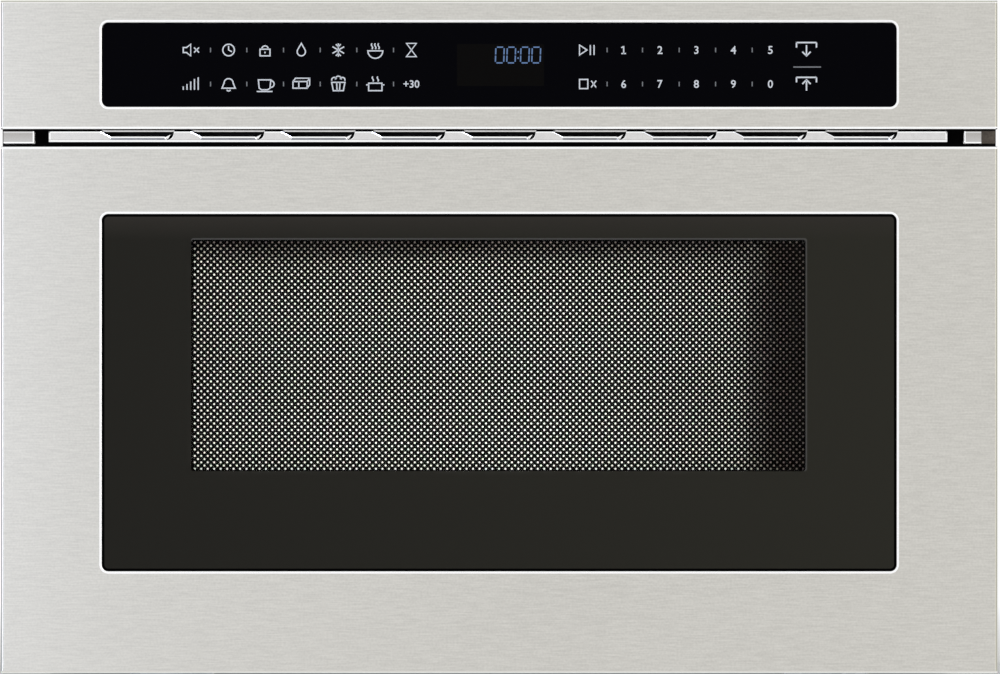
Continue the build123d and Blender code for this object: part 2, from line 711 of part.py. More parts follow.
# ---- power parts ----
with BuildPart() as transformer_core:
    middle = (core_x, base_top + core_height / 2)
    plate_on(at_y(core_y + core_depth / 2), core_width, core_height, middle, core_depth)
    for side in (-1, 1):
        offset_x = side * (core_width / 2 - core_leg - core_window / 2)
        plate_on(at_y(core_y + core_depth / 2), core_window, core_height - 2 * core_leg,
                 (core_x + offset_x, middle[1]), core_depth, mode=Mode.SUBTRACT)
    block((core_x - core_width / 2 - core_foot, core_x + core_width / 2 + core_foot),
          (core_y - core_depth / 2 + foot_thickness, core_y + core_depth / 2 - foot_thickness),
          (base_top, base_top + foot_thickness))

with BuildPart() as transformer_windings:
    leg_half = core_width / 2 - core_leg - core_window
    winding_half = core_width / 2 - core_leg - seat_gap
    height = core_height - 2 * core_leg - 2 * seat_gap
    with BuildSketch(Plane.XY.offset(base_top + core_leg + seat_gap)):
        with Locations((core_x, core_y)):
            RectangleRounded(2 * winding_half, core_depth + 2 * winding_overhang, winding_overhang - sheet)
            Rectangle(2 * leg_half, core_depth, mode=Mode.SUBTRACT)
    extrude(amount=height)

with BuildPart() as hv_capacitor:
    with BuildSketch(Plane.XY.offset(base_top)):
        with Locations((capacitor_x, core_y)):
            SlotOverall(capacitor_width, capacitor_depth)
    extrude(amount=capacitor_height)
    for side in (-1, 1):
        with Locations((capacitor_x + side * terminal_offset, core_y, base_top + capacitor_height)):
            Box(terminal_size, terminal_size, terminal_height, align=(Align.CENTER, Align.CENTER, Align.MIN))
            Box(*tab_size, align=(Align.CENTER, Align.CENTER, Align.MIN))

with BuildPart() as power_board:
    board_left = -side_inner + board_outer_gap
    board_right = -well_edge - board_inner_gap
    board_x = (board_left + board_right) / 2
    board_y = stirrer_y + board_setback_y
    board_z = ceiling_top + board_height
    board_rear = board_y + board_length / 2 - 2 * board_edge
    board_front = board_y - board_length / 2 + 2 * board_edge
    on_board = (Align.MIN, Align.MAX, Align.MIN)
    with Locations((board_x, board_y, board_z)):
        Box(board_right - board_left, board_length, board_thickness,
            align=(Align.CENTER, Align.CENTER, Align.MIN))
    with BuildSketch(Plane.XY.offset(ceiling_top)):
        with Locations((board_x, board_y)):
            with GridLocations(board_right - board_left - 2 * board_edge,
                               board_length - 2 * board_edge, 2, 2):
                RegularPolygon(post_radius, 6)
    extrude(amount=board_height)
    board_face = board_z + board_thickness
    with Locations(*[(board_left + board_edge, board_rear - step * relay_pitch, board_face)
                     for step in range(3)]):
        Box(*relay_size, align=on_board)
    with BuildSketch(Plane.XY.offset(board_face)):
        with Locations(*[(board_right - (1.5 + 2.5 * step) * choke_coil_radius,
                          board_rear - choke_coil_radius) for step in range(2)]):
            RegularPolygon(choke_coil_radius, 12)
    extrude(amount=choke_coil_height)
    with Locations((board_left + board_edge, board_front + supply_size[1], board_face)):
        Box(*supply_size, align=on_board)
    with Locations((board_right - board_edge - sink_size[0] / 2, board_front + sink_size[1] / 2,
                    board_face)):
        Box(*sink_size, align=(Align.CENTER, Align.CENTER, Align.MIN))
        with GridLocations(sink_fin_pitch, 1, sink_fin_count, 1):
            Box(sink_fin, sink_size[1], sink_fin_height, align=(Align.CENTER, Align.CENTER, Align.MIN))

# ---- cooling fan and ducts ----
pocket_half = fan_half - shroud_wall
motor_front = fan_front + fan_bore_depth + strut_setback + strut_thickness
with BuildPart() as fan_shroud:
    plate_on(at_y(fan_front + fan_depth), 2 * fan_half, 2 * fan_half, (fan_x, fan_z), fan_depth,
             shroud_radius)
    plate_on(at_y(fan_front + fan_depth), 2 * pocket_half, 2 * pocket_half, (fan_x, fan_z),
             fan_depth - fan_bore_depth, mode=Mode.SUBTRACT)
    with Locations((fan_x, fan_front + fan_depth / 2, fan_z)):
        Cylinder(fan_radius + fan_gap, fan_depth, rotation=(90, 0, 0), mode=Mode.SUBTRACT)
    with BuildSketch(at_y(motor_front)):
        with Locations((fan_x, fan_z)):
            Rectangle(2 * pocket_half + shroud_wall, strut_width)
            Rectangle(strut_width, 2 * pocket_half + shroud_wall)
            RegularPolygon(fan_hub, 12)
            Circle(2 * fan_shaft, mode=Mode.SUBTRACT)
    extrude(amount=strut_thickness)

fan_middle = fan_front + fan_bore_depth / 2
shaft_end_y = motor_front + fan_motor_size[2] / 2
with BuildPart() as fan_motor:
    for (width, height, depth), drop in ((fan_motor_size, 0), (fan_coil_size, fan_coil_drop)):
        plate_on(at_y(motor_front + depth), width, height, (fan_x, fan_z - drop), depth)
    with Locations((fan_x, motor_front, fan_z)):
        Cylinder(fan_shaft + shaft_gap, 2 * (shaft_end_y - motor_front + seat_gap), rotation=(90, 0, 0),
                 mode=Mode.SUBTRACT)

with BuildPart() as cooling_fan:
    for blade in range(fan_blades):
        turn = radians(360 / fan_blades * blade)
        out = Vector(cos(turn), 0, sin(turn))
        around = Vector(-sin(turn), 0, cos(turn))
        chord = around * cos(radians(fan_pitch)) + Vector(0, 1, 0) * sin(radians(fan_pitch))
        root = Plane(origin=Vector(fan_x, fan_middle, fan_z) + out * (fan_hub - blade_root),
                     x_dir=chord, z_dir=out)
        with BuildSketch(root) as section:
            with BuildLine():
                Polyline((-blade_chord / 2, -blade_camber), (0, blade_thickness),
                         (blade_chord / 2, -blade_camber), (0, 0), close=True)
            make_face()
        extrude(section.sketch, amount=fan_radius - fan_hub + blade_root)
    with Locations((fan_x, fan_middle, fan_z)):
        Cylinder(fan_hub, fan_bore_depth - 8, rotation=(90, 0, 0))
    with Locations((fan_x, (fan_middle + shaft_end_y) / 2, fan_z)):
        Cylinder(fan_shaft, shaft_end_y - fan_middle, rotation=(90, 0, 0))

# The duct narrows in plan towards the fan and grows higher: each skin is where two tapering blocks cross.
with BuildPart() as air_duct:
    for inset, mode in ((0, Mode.ADD), (duct_wall, Mode.SUBTRACT)):
        reach = inset / duct_wall * sheet
        right = duct_width / 2 - inset
        inlet_left = duct_width / 2 - duct_inlet_width + inset
        floor_z = ceiling_top + inset
        with BuildPart(mode=mode):
            with BuildSketch(Plane.XY.offset(floor_z)) as plan:
                with BuildLine():
                    Polyline((-right, frame_back - reach), (right, frame_back - reach),
                             (right, duct_rear + reach), (inlet_left, duct_rear + reach), close=True)
                make_face()
            extrude(plan.sketch, amount=duct_inlet_height)
            with BuildSketch(Plane.YZ.offset(-duct_width)) as profile:
                with BuildLine():
                    Polyline((frame_back - reach, floor_z), (duct_rear + reach, floor_z),
                             (duct_rear + reach, ceiling_top + duct_inlet_height - inset),
                             (frame_back - reach, ceiling_top + duct_outlet_height - inset), close=True)
                make_face()
            extrude(profile.sketch, amount=2 * duct_width, mode=Mode.INTERSECT)

with BuildPart() as vent_louver:
    line = [(frame_y, fascia_z), (vent_y, fascia_z), (vent_y, vent_z), (frame_y, vent_z)]
    bent_sheet(Plane.YZ.offset(-vent_width / 2), line, vent_width)
    slot_top = fascia_z - slot_below_top
    slot_low = slot_top - slot_height
    for index in range(louver_count):
        left = (index - (louver_count - 1) / 2) * louver_pitch - louver_top / 2
        right = left + louver_top
        with BuildSketch(at_y(vent_y + 2 * sheet)):
            with BuildLine():
                Polyline((left, slot_top), (left + louver_lead, slot_low), (right - louver_tail, slot_low),
                         (right, slot_top), close=True)
            make_face()
        extrude(amount=3 * sheet, mode=Mode.SUBTRACT)
        with BuildSketch(Plane.YZ.offset(left + louver_lead)):
            with BuildLine():
                Polyline((vent_y, slot_low - lip_height), (vent_y - lip_reach, slot_low - lip_height / 3),
                         (vent_y - lip_reach, slot_low - lip_height / 18), (vent_y, slot_low), close=True)
            make_face()
        extrude(amount=louver_top - louver_lead - louver_tail)

# ---- control panel ----
with BuildPart() as control_fascia:
    front_skin(fascia_z, fascia_height, touch_glass_z, touch_glass_height)

with BuildPart() as touch_glass:
    glass_pane(touch_glass_z, touch_glass_height)

with BuildPart() as panel_housing:
    middle = (0, housing_z + housing_height / 2)
    plate_on(at_y(frame_y), housing_width, housing_height, middle, frame_y - glass_back,
             housing_wall + sheet)
    plate_on(at_y(frame_y), housing_width - 2 * housing_wall, housing_height - 2 * housing_wall, middle,
             frame_y - glass_back - housing_wall, sheet, mode=Mode.SUBTRACT)
    plate_on(at_y(frame_y), display_width + 2 * seat_gap, display_height + 2 * seat_gap,
             (0, display_z + display_height / 2), frame_y - glass_back, mode=Mode.SUBTRACT)
    with Locations((0, glass_back + (housing_wall + board_setback) / 2, middle[1])):
        with GridLocations(post_pitch, 1, 4, 1):
            for side in (-1, 1):
                with Locations((0, 0, side * (housing_height / 2 - housing_wall - post_size))):
                    Box(post_size, board_setback - housing_wall, post_size)

with BuildPart() as control_board:
    board_y = glass_back + board_setback
    plate_on(at_y(board_y + board_thickness), housing_width - 2 * (housing_wall + housing_gap),
             housing_height - 2 * (housing_wall + housing_gap / 2), (0, housing_z + housing_height / 2),
             board_thickness)
    plate_on(at_y(board_y), display_width, display_height, (0, display_z + display_height / 2),
             board_setback)

bracket_y = front_y + bracket_setback
with BuildPart() as fascia_brackets:
    line = [(frame_back, vent_z), (frame_back, fascia_z), (bracket_y, fascia_z), (bracket_y, vent_z)]
    for start in (-fascia_bracket_inner - bracket_width, fascia_bracket_inner):
        bent_sheet(Plane.YZ.offset(start), line, bracket_width)

with BuildPart() as bumper_pad:
    pad_x = front_width / 2 - skin
    block((pad_x - pad_width, pad_x), (bracket_y - pad_thickness, bracket_y),
          (vent_z, fascia_z - pad_clearance))
    fillet(edges().filter_by(Axis.X).group_by(Axis.Y)[0], pad_thickness / 3)

# ---- drawer front and door ----
with BuildPart() as drawer_front_panel:
    front_skin(front_lift, drawer_front_height, door_glass_z, door_glass_height)

with BuildPart() as door_glass:
    glass_pane(door_glass_z, door_glass_height)

window_middle = (0, window_z + window_height / 2)
screen_width = window_width + 2 * window_margin
screen_height = window_height + 2 * window_margin
with BuildPart() as door_frame:
    middle = (0, front_lift + drawer_front_height / 2)
    inset = 2 * (skin + seat_gap)
    choke_middle = (0, (choke_low + choke_high) / 2)
    choke_size = (2 * choke_half, choke_high - choke_low)
    plate_on(at_y(plate_back + pan_lip), front_width - inset, drawer_front_height - inset, middle,
             pan_lip + skin)
    plate_on(at_y(plate_back + pan_lip), front_width - inset - 2 * skin,
             drawer_front_height - inset - 2 * skin, middle, pan_lip, mode=Mode.SUBTRACT)
    plate_on(at_y(door_back), *choke_size, choke_middle, door_back - glass_back, pan_radius)
    plate_on(at_y(door_back - skin), choke_size[0] - 2 * skin, choke_size[1] - 2 * skin, choke_middle,
             door_back - front_y, pan_radius - skin, mode=Mode.SUBTRACT)
    plate_on(at_y(door_back), screen_width, screen_height, window_middle, 4 * skin, pan_radius - skin,
             mode=Mode.SUBTRACT)

with BuildPart() as window_screen:
    plate_on(at_y(door_back - skin), screen_width + 2 * screen_overlap, screen_height + 2 * screen_overlap,
             window_middle, screen_thickness)

with BuildPart() as choke_comb:
    middle = (0, (comb_low + comb_high) / 2)
    comb_depth = door_back - plate_back
    size = (2 * comb_half, comb_high - comb_low)
    plate_on(at_y(door_back), *size, middle, comb_depth)
    plate_on(at_y(door_back), size[0] - 2 * sheet, size[1] - 2 * sheet, middle, comb_depth,
             mode=Mode.SUBTRACT)
    slot_middle = door_back - (comb_depth - comb_base) / 2
    for side in (-1, 1):
        with Locations((0, slot_middle, middle[1] + side * size[1] / 2)):
            with GridLocations(comb_pitch, 1, int((size[0] - comb_pitch) / comb_pitch), 1):
                Box(comb_slot, comb_depth - comb_base, 4 * sheet, mode=Mode.SUBTRACT)
        count = int((size[1] - comb_pitch) / comb_pitch)
        with Locations(*[(side * size[0] / 2, slot_middle, middle[1] + (step - (count - 1) / 2) * comb_pitch)
                         for step in range(count)]):
            Box(4 * sheet, comb_depth - comb_base, comb_slot, mode=Mode.SUBTRACT)

with BuildPart() as choke_cover:
    middle = (0, (comb_low + comb_high) / 2)
    plate_on(at_y(door_back + choke_cover_thickness), 2 * (comb_half + sheet),
             comb_high - comb_low + 2 * sheet, middle, choke_cover_thickness, cover_corner)
    chamfer(faces().sort_by(Axis.Y)[-1].edges(), choke_cover_thickness / 2)
    plate_on(at_y(door_back + choke_cover_thickness), 2 * (box_half + rim_overhang + seat_gap),
             cavity_height - 2 * box_bottom_gap, (0, cavity_floor_z + cavity_height / 2),
             choke_cover_thickness, cover_corner / 2, mode=Mode.SUBTRACT)

# ---- drawer box ----
box_front = door_back
with BuildPart() as drawer_side_left:
    with BuildSketch(at_y(box_back)):
        with BuildLine():
            Polyline((-box_inner, box_bottom), (-box_half, box_bottom), (-box_half, box_top - rim_height),
                     (-box_half - rim_overhang, box_top - rim_height), (-box_half - rim_overhang, box_top),
                     (-box_inner, box_top), close=True)
        make_face()
    extrude(amount=box_back - box_front)
    fillet(edges().filter_by(Axis.Y).group_by(Axis.Z)[-1], 1.5)

with BuildPart() as drawer_side_right:
    mirror(drawer_side_left.part, about=Plane.YZ)

with BuildPart() as drawer_back:
    block((-box_inner, box_inner), (box_back - box_wall, box_back), (box_bottom, box_top))
    block((-box_inner, box_inner), (box_back, box_back + rim_overhang), (box_top - rim_height, box_top))
    fillet(edges().filter_by(Axis.X).group_by(Axis.Z)[-1], 1.5)

with BuildPart() as drawer_tray:
    back = box_back - box_wall
    block((-box_inner, box_inner), (box_front, back), (box_bottom, box_bottom + 2 * plate_thickness))
    block((-box_inner + tray_rim, box_inner - tray_rim), (box_front + tray_rim, back - tray_rim),
          (box_bottom + plate_thickness, box_bottom + 3 * plate_thickness), mode=Mode.SUBTRACT)
    fillet(edges().filter_by(Axis.Z).filter_by_position(Axis.X, -box_inner + 1, box_inner - 1), plate_radius)
    groove_floor = cavity_floor_z - groove_depth
    for side in (-1, 1):
        block(sorted((side * (glide_x - glide_width / 2), side * (glide_x + glide_width / 2))),
              (frame_back + travel + glide_clearance, back - glide_inset),
              (groove_floor + glide_gap, box_bottom))

with BuildPart() as ceramic_plate:
    edge = tray_rim + seat_gap
    width = 2 * (box_inner - edge)
    depth = box_back - box_wall - box_front - 2 * edge
    with BuildSketch(Plane.XY.offset(box_bottom + plate_thickness)):
        with Locations((0, (box_front + box_back - box_wall) / 2)):
            RectangleRounded(width, depth, plate_radius)
    extrude(amount=plate_thickness)
    chamfer(faces().sort_by(Axis.Z)[-1].edges(), plate_thickness / 5)

# ---- slides ----
def channel_line(side, depth_from, depth_to, half_height, lip):
    """Section of a rail that opens to the middle of the unit, along its outer faces."""
    back_x, mouth_x = slide_back_x - depth_from, slide_back_x - depth_to
    points = [(mouth_x, slide_z + half_height), (back_x, slide_z + half_height),
              (back_x, slide_z - half_height), (mouth_x, slide_z - half_height)]
    if lip > 0:
        points = [(mouth_x, slide_z + half_height - lip), *points, (mouth_x, slide_z - half_height + lip)]
    points = [(side * x, z) for x, z in points]
    return points if side < 0 else list(reversed(points))


outer_half = slide_height / 2
with BuildPart() as slide_outer_rails:
    for side in (-1, 1):
        bent_sheet(at_y(slide_end), channel_line(side, 0, slide_width, outer_half, slide_lip + rail_gauge),
                   slide_length, rail_gauge)

mid_rails = {}
for side, name in ((-1, "slide_mid_left"), (1, "slide_mid_right")):
    with BuildPart() as slide_mid:
        bent_sheet(at_y(slide_end), channel_line(side, mid_inset, slide_width - mid_inset,
                   outer_half - mid_inset, slide_lip), slide_length, rail_gauge)
    mid_rails[name] = slide_mid

with BuildPart() as slide_inner_rails:
    for side in (-1, 1):
        bent_sheet(at_y(slide_end), channel_line(side, inner_inset, slide_width - inner_inset,
                   outer_half - inner_inset, 0), slide_length, rail_gauge)

with BuildPart() as slide_brackets:
    top = slide_z + outer_half
    for side in (-1, 1):
        line = [(side * (side_inner - 2 * sheet), base_top), (side * slide_back_x, base_top),
                (side * slide_back_x, top)]
        if side < 0:
            line.reverse()
        for start in bracket_places:
            bent_sheet(at_y(start + bracket_length), [(x, z) for x, z in reversed(line)], bracket_length,
                       rail_gauge)

with BuildPart() as drawer_subframe:
    half = carrier_height / 2
    for side in (-1, 1):
        line = [(carrier_x - carrier_width, slide_z + half), (carrier_x, slide_z + half),
                (carrier_x, slide_z - half), (carrier_x - carrier_width, slide_z - half)]
        line = [(side * x, z) for x, z in line]
        bent_sheet(at_y(carrier_rear), line if side < 0 else list(reversed(line)), carrier_rear - plate_back,
                   rail_gauge)
        block(sorted((side * (carrier_x - carrier_plate), side * (carrier_x - carrier_width))),
              (plate_back, plate_back + rail_gauge), (slide_z - half, slide_z + half))
    block((-carrier_x + sheet, carrier_x - sheet), (tie_front, tie_front + tie_width),
          (slide_z + half, slide_z + half + tie_thickness))

# ---- rack and pinion ----
def involute(angle):
    """Involute function of a pressure angle in radians."""
    return tan(angle) - angle


def flank_angle(radius):
    """Half the angle that a pinion tooth takes up at a radius."""
    base = pitch_radius * cos(radians(pressure_angle))
    half_thickness = (tooth_pitch / 2 - backlash) / 2
    reach = acos(min(1.0, base / radius))
    return half_thickness / pitch_radius + involute(radians(pressure_angle)) - involute(reach)


with BuildPart() as rack:
    tip_z = slide_z - gear_module
    root_z = slide_z + 1.25 * gear_module
    back_z = slide_z + carrier_height / 2
    lean = tan(radians(pressure_angle))
    half = tooth_pitch / 4
    first = pinion_y - 3 * tooth_pitch
    teeth = []
    for tooth in range(rack_teeth):
        middle = first + tooth * tooth_pitch
        foot, crest = half + (root_z - slide_z) * lean, half - gear_module * lean
        teeth += [(middle - foot, root_z), (middle - crest, tip_z), (middle + crest, tip_z),
                  (middle + foot, root_z)]
    with BuildSketch(Plane.YZ.offset(rack_x)):
        with BuildLine():
            Polyline((plate_back, back_z), (plate_back, root_z), *teeth, (teeth[-1][0] + 2, root_z),
                     (teeth[-1][0] + 2, back_z), close=True)
        make_face()
    extrude(amount=rack_width)

with BuildPart() as drive_pinion:
    outer = pitch_radius + gear_module
    base = pitch_radius * cos(radians(pressure_angle))
    root = pitch_radius - 1.25 * gear_module
    radii = [root, base, pitch_radius, outer]
    outline = []
    for tooth in range(pinion_teeth):
        middle = pi / 2 + 2 * pi / pinion_teeth * (tooth + 0.5)
        lead = [(radius, middle - flank_angle(max(radius, base))) for radius in radii]
        trail = [(radius, middle + flank_angle(max(radius, base))) for radius in reversed(radii)]
        outline += [(pinion_y + radius * cos(angle), pinion_z + radius * sin(angle))
                    for radius, angle in lead + trail]
    with BuildSketch(Plane.YZ.offset(rack_x - (pinion_width - rack_width) / 2)):
        with BuildLine():
            Polyline(*outline, close=True)
        make_face()
    extrude(amount=pinion_width)
    with BuildSketch(Plane.YZ.offset(rack_x)):
        with Locations((pinion_y, pinion_z)):
            Circle(shaft_radius)
    extrude(amount=shaft_end_x - rack_x)

gearbox_x = rack_x + pinion_width + sheet
with BuildPart() as drive_gearmotor:
    with BuildSketch(Plane.YZ.offset(gearbox_x)):
        with Locations((pinion_y, (base_top + gearbox_top) / 2)):
            RectangleRounded(2 * gearbox_half, gearbox_top - base_top, shaft_radius)
    extrude(amount=gearbox_width)
    with Locations((gearbox_x, pinion_y, pinion_z)):
        Cylinder(shaft_radius + shaft_gap, 2 * (shaft_end_x - gearbox_x + seat_gap), rotation=(0, 90, 0),
                 mode=Mode.SUBTRACT)
    with Locations((gearbox_x + motor_radius - shaft_radius, pinion_y + gearbox_half + motor_length / 2,
                    pinion_z + motor_lift)):
        Cylinder(motor_radius, motor_length, rotation=(90, 0, 0))

# ---- interlocks ----
hook_tip = frame_back + hook_reach
with BuildPart() as latch_hooks:
    for side in (-1, 1):
        with BuildSketch(Plane.YZ.offset(side * hook_x - hook_thickness / 2)):
            with BuildLine():
                Polyline((plate_back, hook_z - hook_height / 2),
                         (hook_tip - hook_bevel, hook_z - hook_height / 2),
                         (hook_tip, hook_z - hook_height / 2 + hook_bevel),
                         (hook_tip, hook_z + hook_height / 2 - hook_bevel),
                         (hook_tip - hook_bevel, hook_z + hook_height / 2),
                         (plate_back, hook_z + hook_height / 2), close=True)
            make_face()
        extrude(amount=hook_thickness)
        block((side * hook_x - hook_plate / 2, side * hook_x + hook_plate / 2),
              (plate_back, plate_back + skin), (hook_z - hook_height, hook_z + hook_height))

plunger_tip = hook_tip + glide_gap
with BuildPart() as interlock_switches:
    for side in (-1, 1):
        block((side * hook_x - switch_width / 2, side * hook_x + switch_width / 2),
              (frame_back, frame_back + switch_depth),
              (hook_z - switch_height / 2, hook_z + switch_height / 2))
        block((side * hook_x - switch_mouth / 2, side * hook_x + switch_mouth / 2),
              (frame_back, plunger_tip + plunger_radius),
              (hook_z - hook_height / 2 - 2 * sheet, hook_z + hook_height / 2 + 2 * sheet),
              mode=Mode.SUBTRACT)
        with Locations((side * hook_x, plunger_tip, hook_z)):
            Cylinder(plunger_radius + shaft_gap, 2 * (plunger_length + plunger_stroke), rotation=(90, 0, 0),
                     mode=Mode.SUBTRACT)

plungers = {}
for side, name in ((-1, "interlock_plunger_left"), (1, "interlock_plunger_right")):
    with BuildPart() as plunger:
        with BuildSketch(at_y(plunger_tip + plunger_length)):
            with Locations((side * hook_x, hook_z)):
                Circle(plunger_radius)
        extrude(amount=plunger_length)
    plungers[name] = plunger

# ---- lamp ----
lamp_x = -(cavity_half + side_inner) / 2
socket_top = lamp_z + lamp_socket_lift + lamp_socket_height
with BuildPart() as lamp_holder:
    bulb_bore = lamp_radius - lamp_neck + seat_gap
    for z, height, bore in ((lamp_z + lamp_socket_lift, lamp_socket_height, bulb_bore),
                            (socket_top, lamp_cap_height, 0)):
        with BuildSketch(Plane.XY.offset(z)) as socket:
            with Locations((lamp_x, lamp_y)):
                RegularPolygon(lamp_radius + sheet, 12)
                if bore > 0:
                    RegularPolygon(bore, 12, mode=Mode.SUBTRACT)
        extrude(socket.sketch, amount=height)
    arm_z = socket_top + lamp_cap_height
    y_span = (lamp_y - lamp_arm / 2, lamp_y + lamp_arm / 2)
    block((lamp_x, -cavity_half - sheet), y_span, (arm_z, arm_z + lamp_arm_thickness))
    block((-cavity_half - sheet - lamp_arm_thickness, -cavity_half - sheet), y_span,
          (arm_z - lamp_socket_height / 2, arm_z + lamp_arm_thickness))

with BuildPart() as oven_lamp:
    neck = lamp_radius - lamp_neck
    middle_z = lamp_z - lamp_bulb_drop + lamp_radius
    turns = [radians(angle) for angle in (0, 35, 70)]
    rings = [(socket_top, neck), (lamp_z + lamp_socket_lift, neck),
             *[(middle_z - lamp_radius * sin(turn), lamp_radius * cos(turn)) for turn in turns]]
    for z, radius in rings:
        with BuildSketch(Plane.XY.offset(z)):
            with Locations((lamp_x, lamp_y)):
                RegularPolygon(radius, 12)
    loft(ruled=True)

# ---- fasteners ----
with BuildPart() as case_screws:
    for side in (-1, 1):
        for level in screw_levels:
            for y, radius, sides, length in (
                    (rear_face + screw_head_height, screw_head, 6, screw_head_height),
                    (rear_face, screw_radius, 12, screw_length)):
                with BuildSketch(at_y(y)) as section:
                    with Locations((side * screw_x, level)):
                        RegularPolygon(radius, sides, major_radius=(sides == 12))
                extrude(section.sketch, amount=length)

# ---- export ----
pieces = {
    "base_pan": base_pan, "side_panel_left": side_panel_left, "side_panel_right": side_panel_right,
    "top_cover": top_cover, "rear_panel": rear_panel, "cord_gland": cord_gland,
    "front_frame": front_frame, "cavity_floor": cavity_floor, "cavity_ceiling": cavity_ceiling,
    **cavity_sides, "cavity_rear": cavity_rear,
    "waveguide": waveguide, "waveguide_cover": waveguide_cover, "stirrer_motor": stirrer_motor,
    "stirrer_fan": stirrer_fan, "magnetron": magnetron, "transformer_core": transformer_core,
    "transformer_windings": transformer_windings, "hv_capacitor": hv_capacitor, "power_board": power_board,
    "fan_shroud": fan_shroud, "fan_motor": fan_motor, "cooling_fan": cooling_fan, "air_duct": air_duct,
    "vent_louver": vent_louver, "control_fascia": control_fascia, "touch_glass": touch_glass,
    "panel_housing": panel_housing, "control_board": control_board, "fascia_brackets": fascia_brackets,
    "bumper_pad": bumper_pad, "drawer_front_panel": drawer_front_panel, "door_glass": door_glass,
    "door_frame": door_frame, "window_screen": window_screen, "choke_comb": choke_comb,
    "choke_cover": choke_cover, "drawer_side_left": drawer_side_left, "drawer_side_right": drawer_side_right,
    "drawer_back": drawer_back, "drawer_tray": drawer_tray, "ceramic_plate": ceramic_plate,
    "slide_outer_rails": slide_outer_rails, **mid_rails, "slide_inner_rails": slide_inner_rails,
    "slide_brackets": slide_brackets, "drawer_subframe": drawer_subframe, "rack": rack,
    "drive_pinion": drive_pinion, "drive_gearmotor": drive_gearmotor, "latch_hooks": latch_hooks,
    "interlock_switches": interlock_switches, **plungers, "lamp_holder": lamp_holder, "oven_lamp": oven_lamp,
    "case_screws": case_screws,
}
os.makedirs("parts", exist_ok=True)
for name, piece in pieces.items():
    piece.part.label = name
    export_step(piece.part, f"parts/{name}.step")
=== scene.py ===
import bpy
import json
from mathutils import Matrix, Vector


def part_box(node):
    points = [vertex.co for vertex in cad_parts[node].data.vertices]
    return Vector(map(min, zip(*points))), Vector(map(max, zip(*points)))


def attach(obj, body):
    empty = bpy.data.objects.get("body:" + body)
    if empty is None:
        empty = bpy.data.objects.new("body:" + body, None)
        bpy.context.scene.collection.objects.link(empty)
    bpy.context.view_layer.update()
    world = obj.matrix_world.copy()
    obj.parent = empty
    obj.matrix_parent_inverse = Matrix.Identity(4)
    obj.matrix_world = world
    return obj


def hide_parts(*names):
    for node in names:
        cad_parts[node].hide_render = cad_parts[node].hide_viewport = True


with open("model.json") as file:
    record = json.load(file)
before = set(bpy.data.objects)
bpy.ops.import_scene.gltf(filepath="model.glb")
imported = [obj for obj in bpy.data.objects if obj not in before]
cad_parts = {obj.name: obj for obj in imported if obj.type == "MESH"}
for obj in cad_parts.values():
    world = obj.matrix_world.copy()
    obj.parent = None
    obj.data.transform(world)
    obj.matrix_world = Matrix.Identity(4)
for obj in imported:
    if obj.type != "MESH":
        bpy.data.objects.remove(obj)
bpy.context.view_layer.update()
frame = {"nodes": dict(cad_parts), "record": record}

import functools
import json
import math
import bmesh
import bpy
import numpy as np
from mathutils import Vector

print("stage: frame loaded")
mm = 0.001
slotOf = {part["node"]: part["material_slot"] for part in frame["record"]["subparts"]}


# camera, light and floor
studio = {
    "photoWidth": 1000, "photoHeight": 674,     # pixels of the photograph's frame
    "pixel": 0.60913 * mm,                      # metres per pixel at the face of the fronts
    "leftPixel": 499.2,                         # column of the object's middle
    "bottomPixel": 672.8, "bottom": 3 * mm,     # row and height of the drawer front's lower edge
    "distance": 12.0,                           # a long lens: the photograph shows almost no perspective
    "sensor": 36, "clipEnd": 50,
    "ambient": 0.5,                             # the sky's strength on the object itself
    "aim": (0, -0.1, 0.2),                      # where every lamp points
    "floorHalf": 8, "floorPaint": "EFEFEC", "floorRough": 0.8,
    "sweep": (0.6, 3.0),    # metres from the object between which the floor runs out to white
}
# each lamp's place, width and height in metres, power in watts and colour
lamps = {
    "keyLight": ((-0.78, -1.8, 0.16), (0.3, 0.5), 7.4, "DDE7FF"),
    "fillLight": ((1.9, -2.4, 1.1), (2.2, 2.2), 15, "FFFBF2"),
    "topLight": ((0, 0.3, 2.6), (2.2, 1.6), 14, "FFFFFF"),
}
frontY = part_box("drawer_front_panel")[0].y


def photoX(column):
    return (column - studio["leftPixel"]) * studio["pixel"]


def photoZ(row):
    return studio["bottom"] + (studio["bottomPixel"] - row) * studio["pixel"]


def toLinear(hexColour):
    # sRGB hex to linear: the standard two-part curve, channel by channel
    values = [int(hexColour[i:i + 2], 16) / 255 for i in (0, 2, 4)]
    return [v / 12.92 if v <= 0.04045 else ((v + 0.055) / 1.055) ** 2.4 for v in values] + [1.0]


def setSockets(node, values):
    # a key that is one of the node's sockets takes a number, a hex colour, or a link from another node: from
    # the output given, or from the first one in use; any other key is one of the node's own properties
    for key, value in values.items():
        if isinstance(value, bpy.types.Node):
            value = next(output for output in value.outputs if output.enabled)
        if isinstance(value, bpy.types.NodeSocket):
            node.id_data.links.new(value, node.inputs[key])
        elif isinstance(key, int) or key in node.inputs:
            node.inputs[key].default_value = toLinear(value) if isinstance(value, str) else value
        else:
            setattr(node, key, value)


def addNode(tree, kind, values=None):
    node = tree.nodes.new("ShaderNode" + kind)
    setSockets(node, values or {})
    return node


def newMaterial(name):
    # a material, the function that adds nodes to it, its shader and the object's own coordinates
    material = bpy.data.materials.new(name)
    material.use_nodes = True
    add = functools.partial(addNode, material.node_tree)
    return material, add, material.node_tree.nodes["Principled BSDF"], add("TexCoord").outputs["Object"]


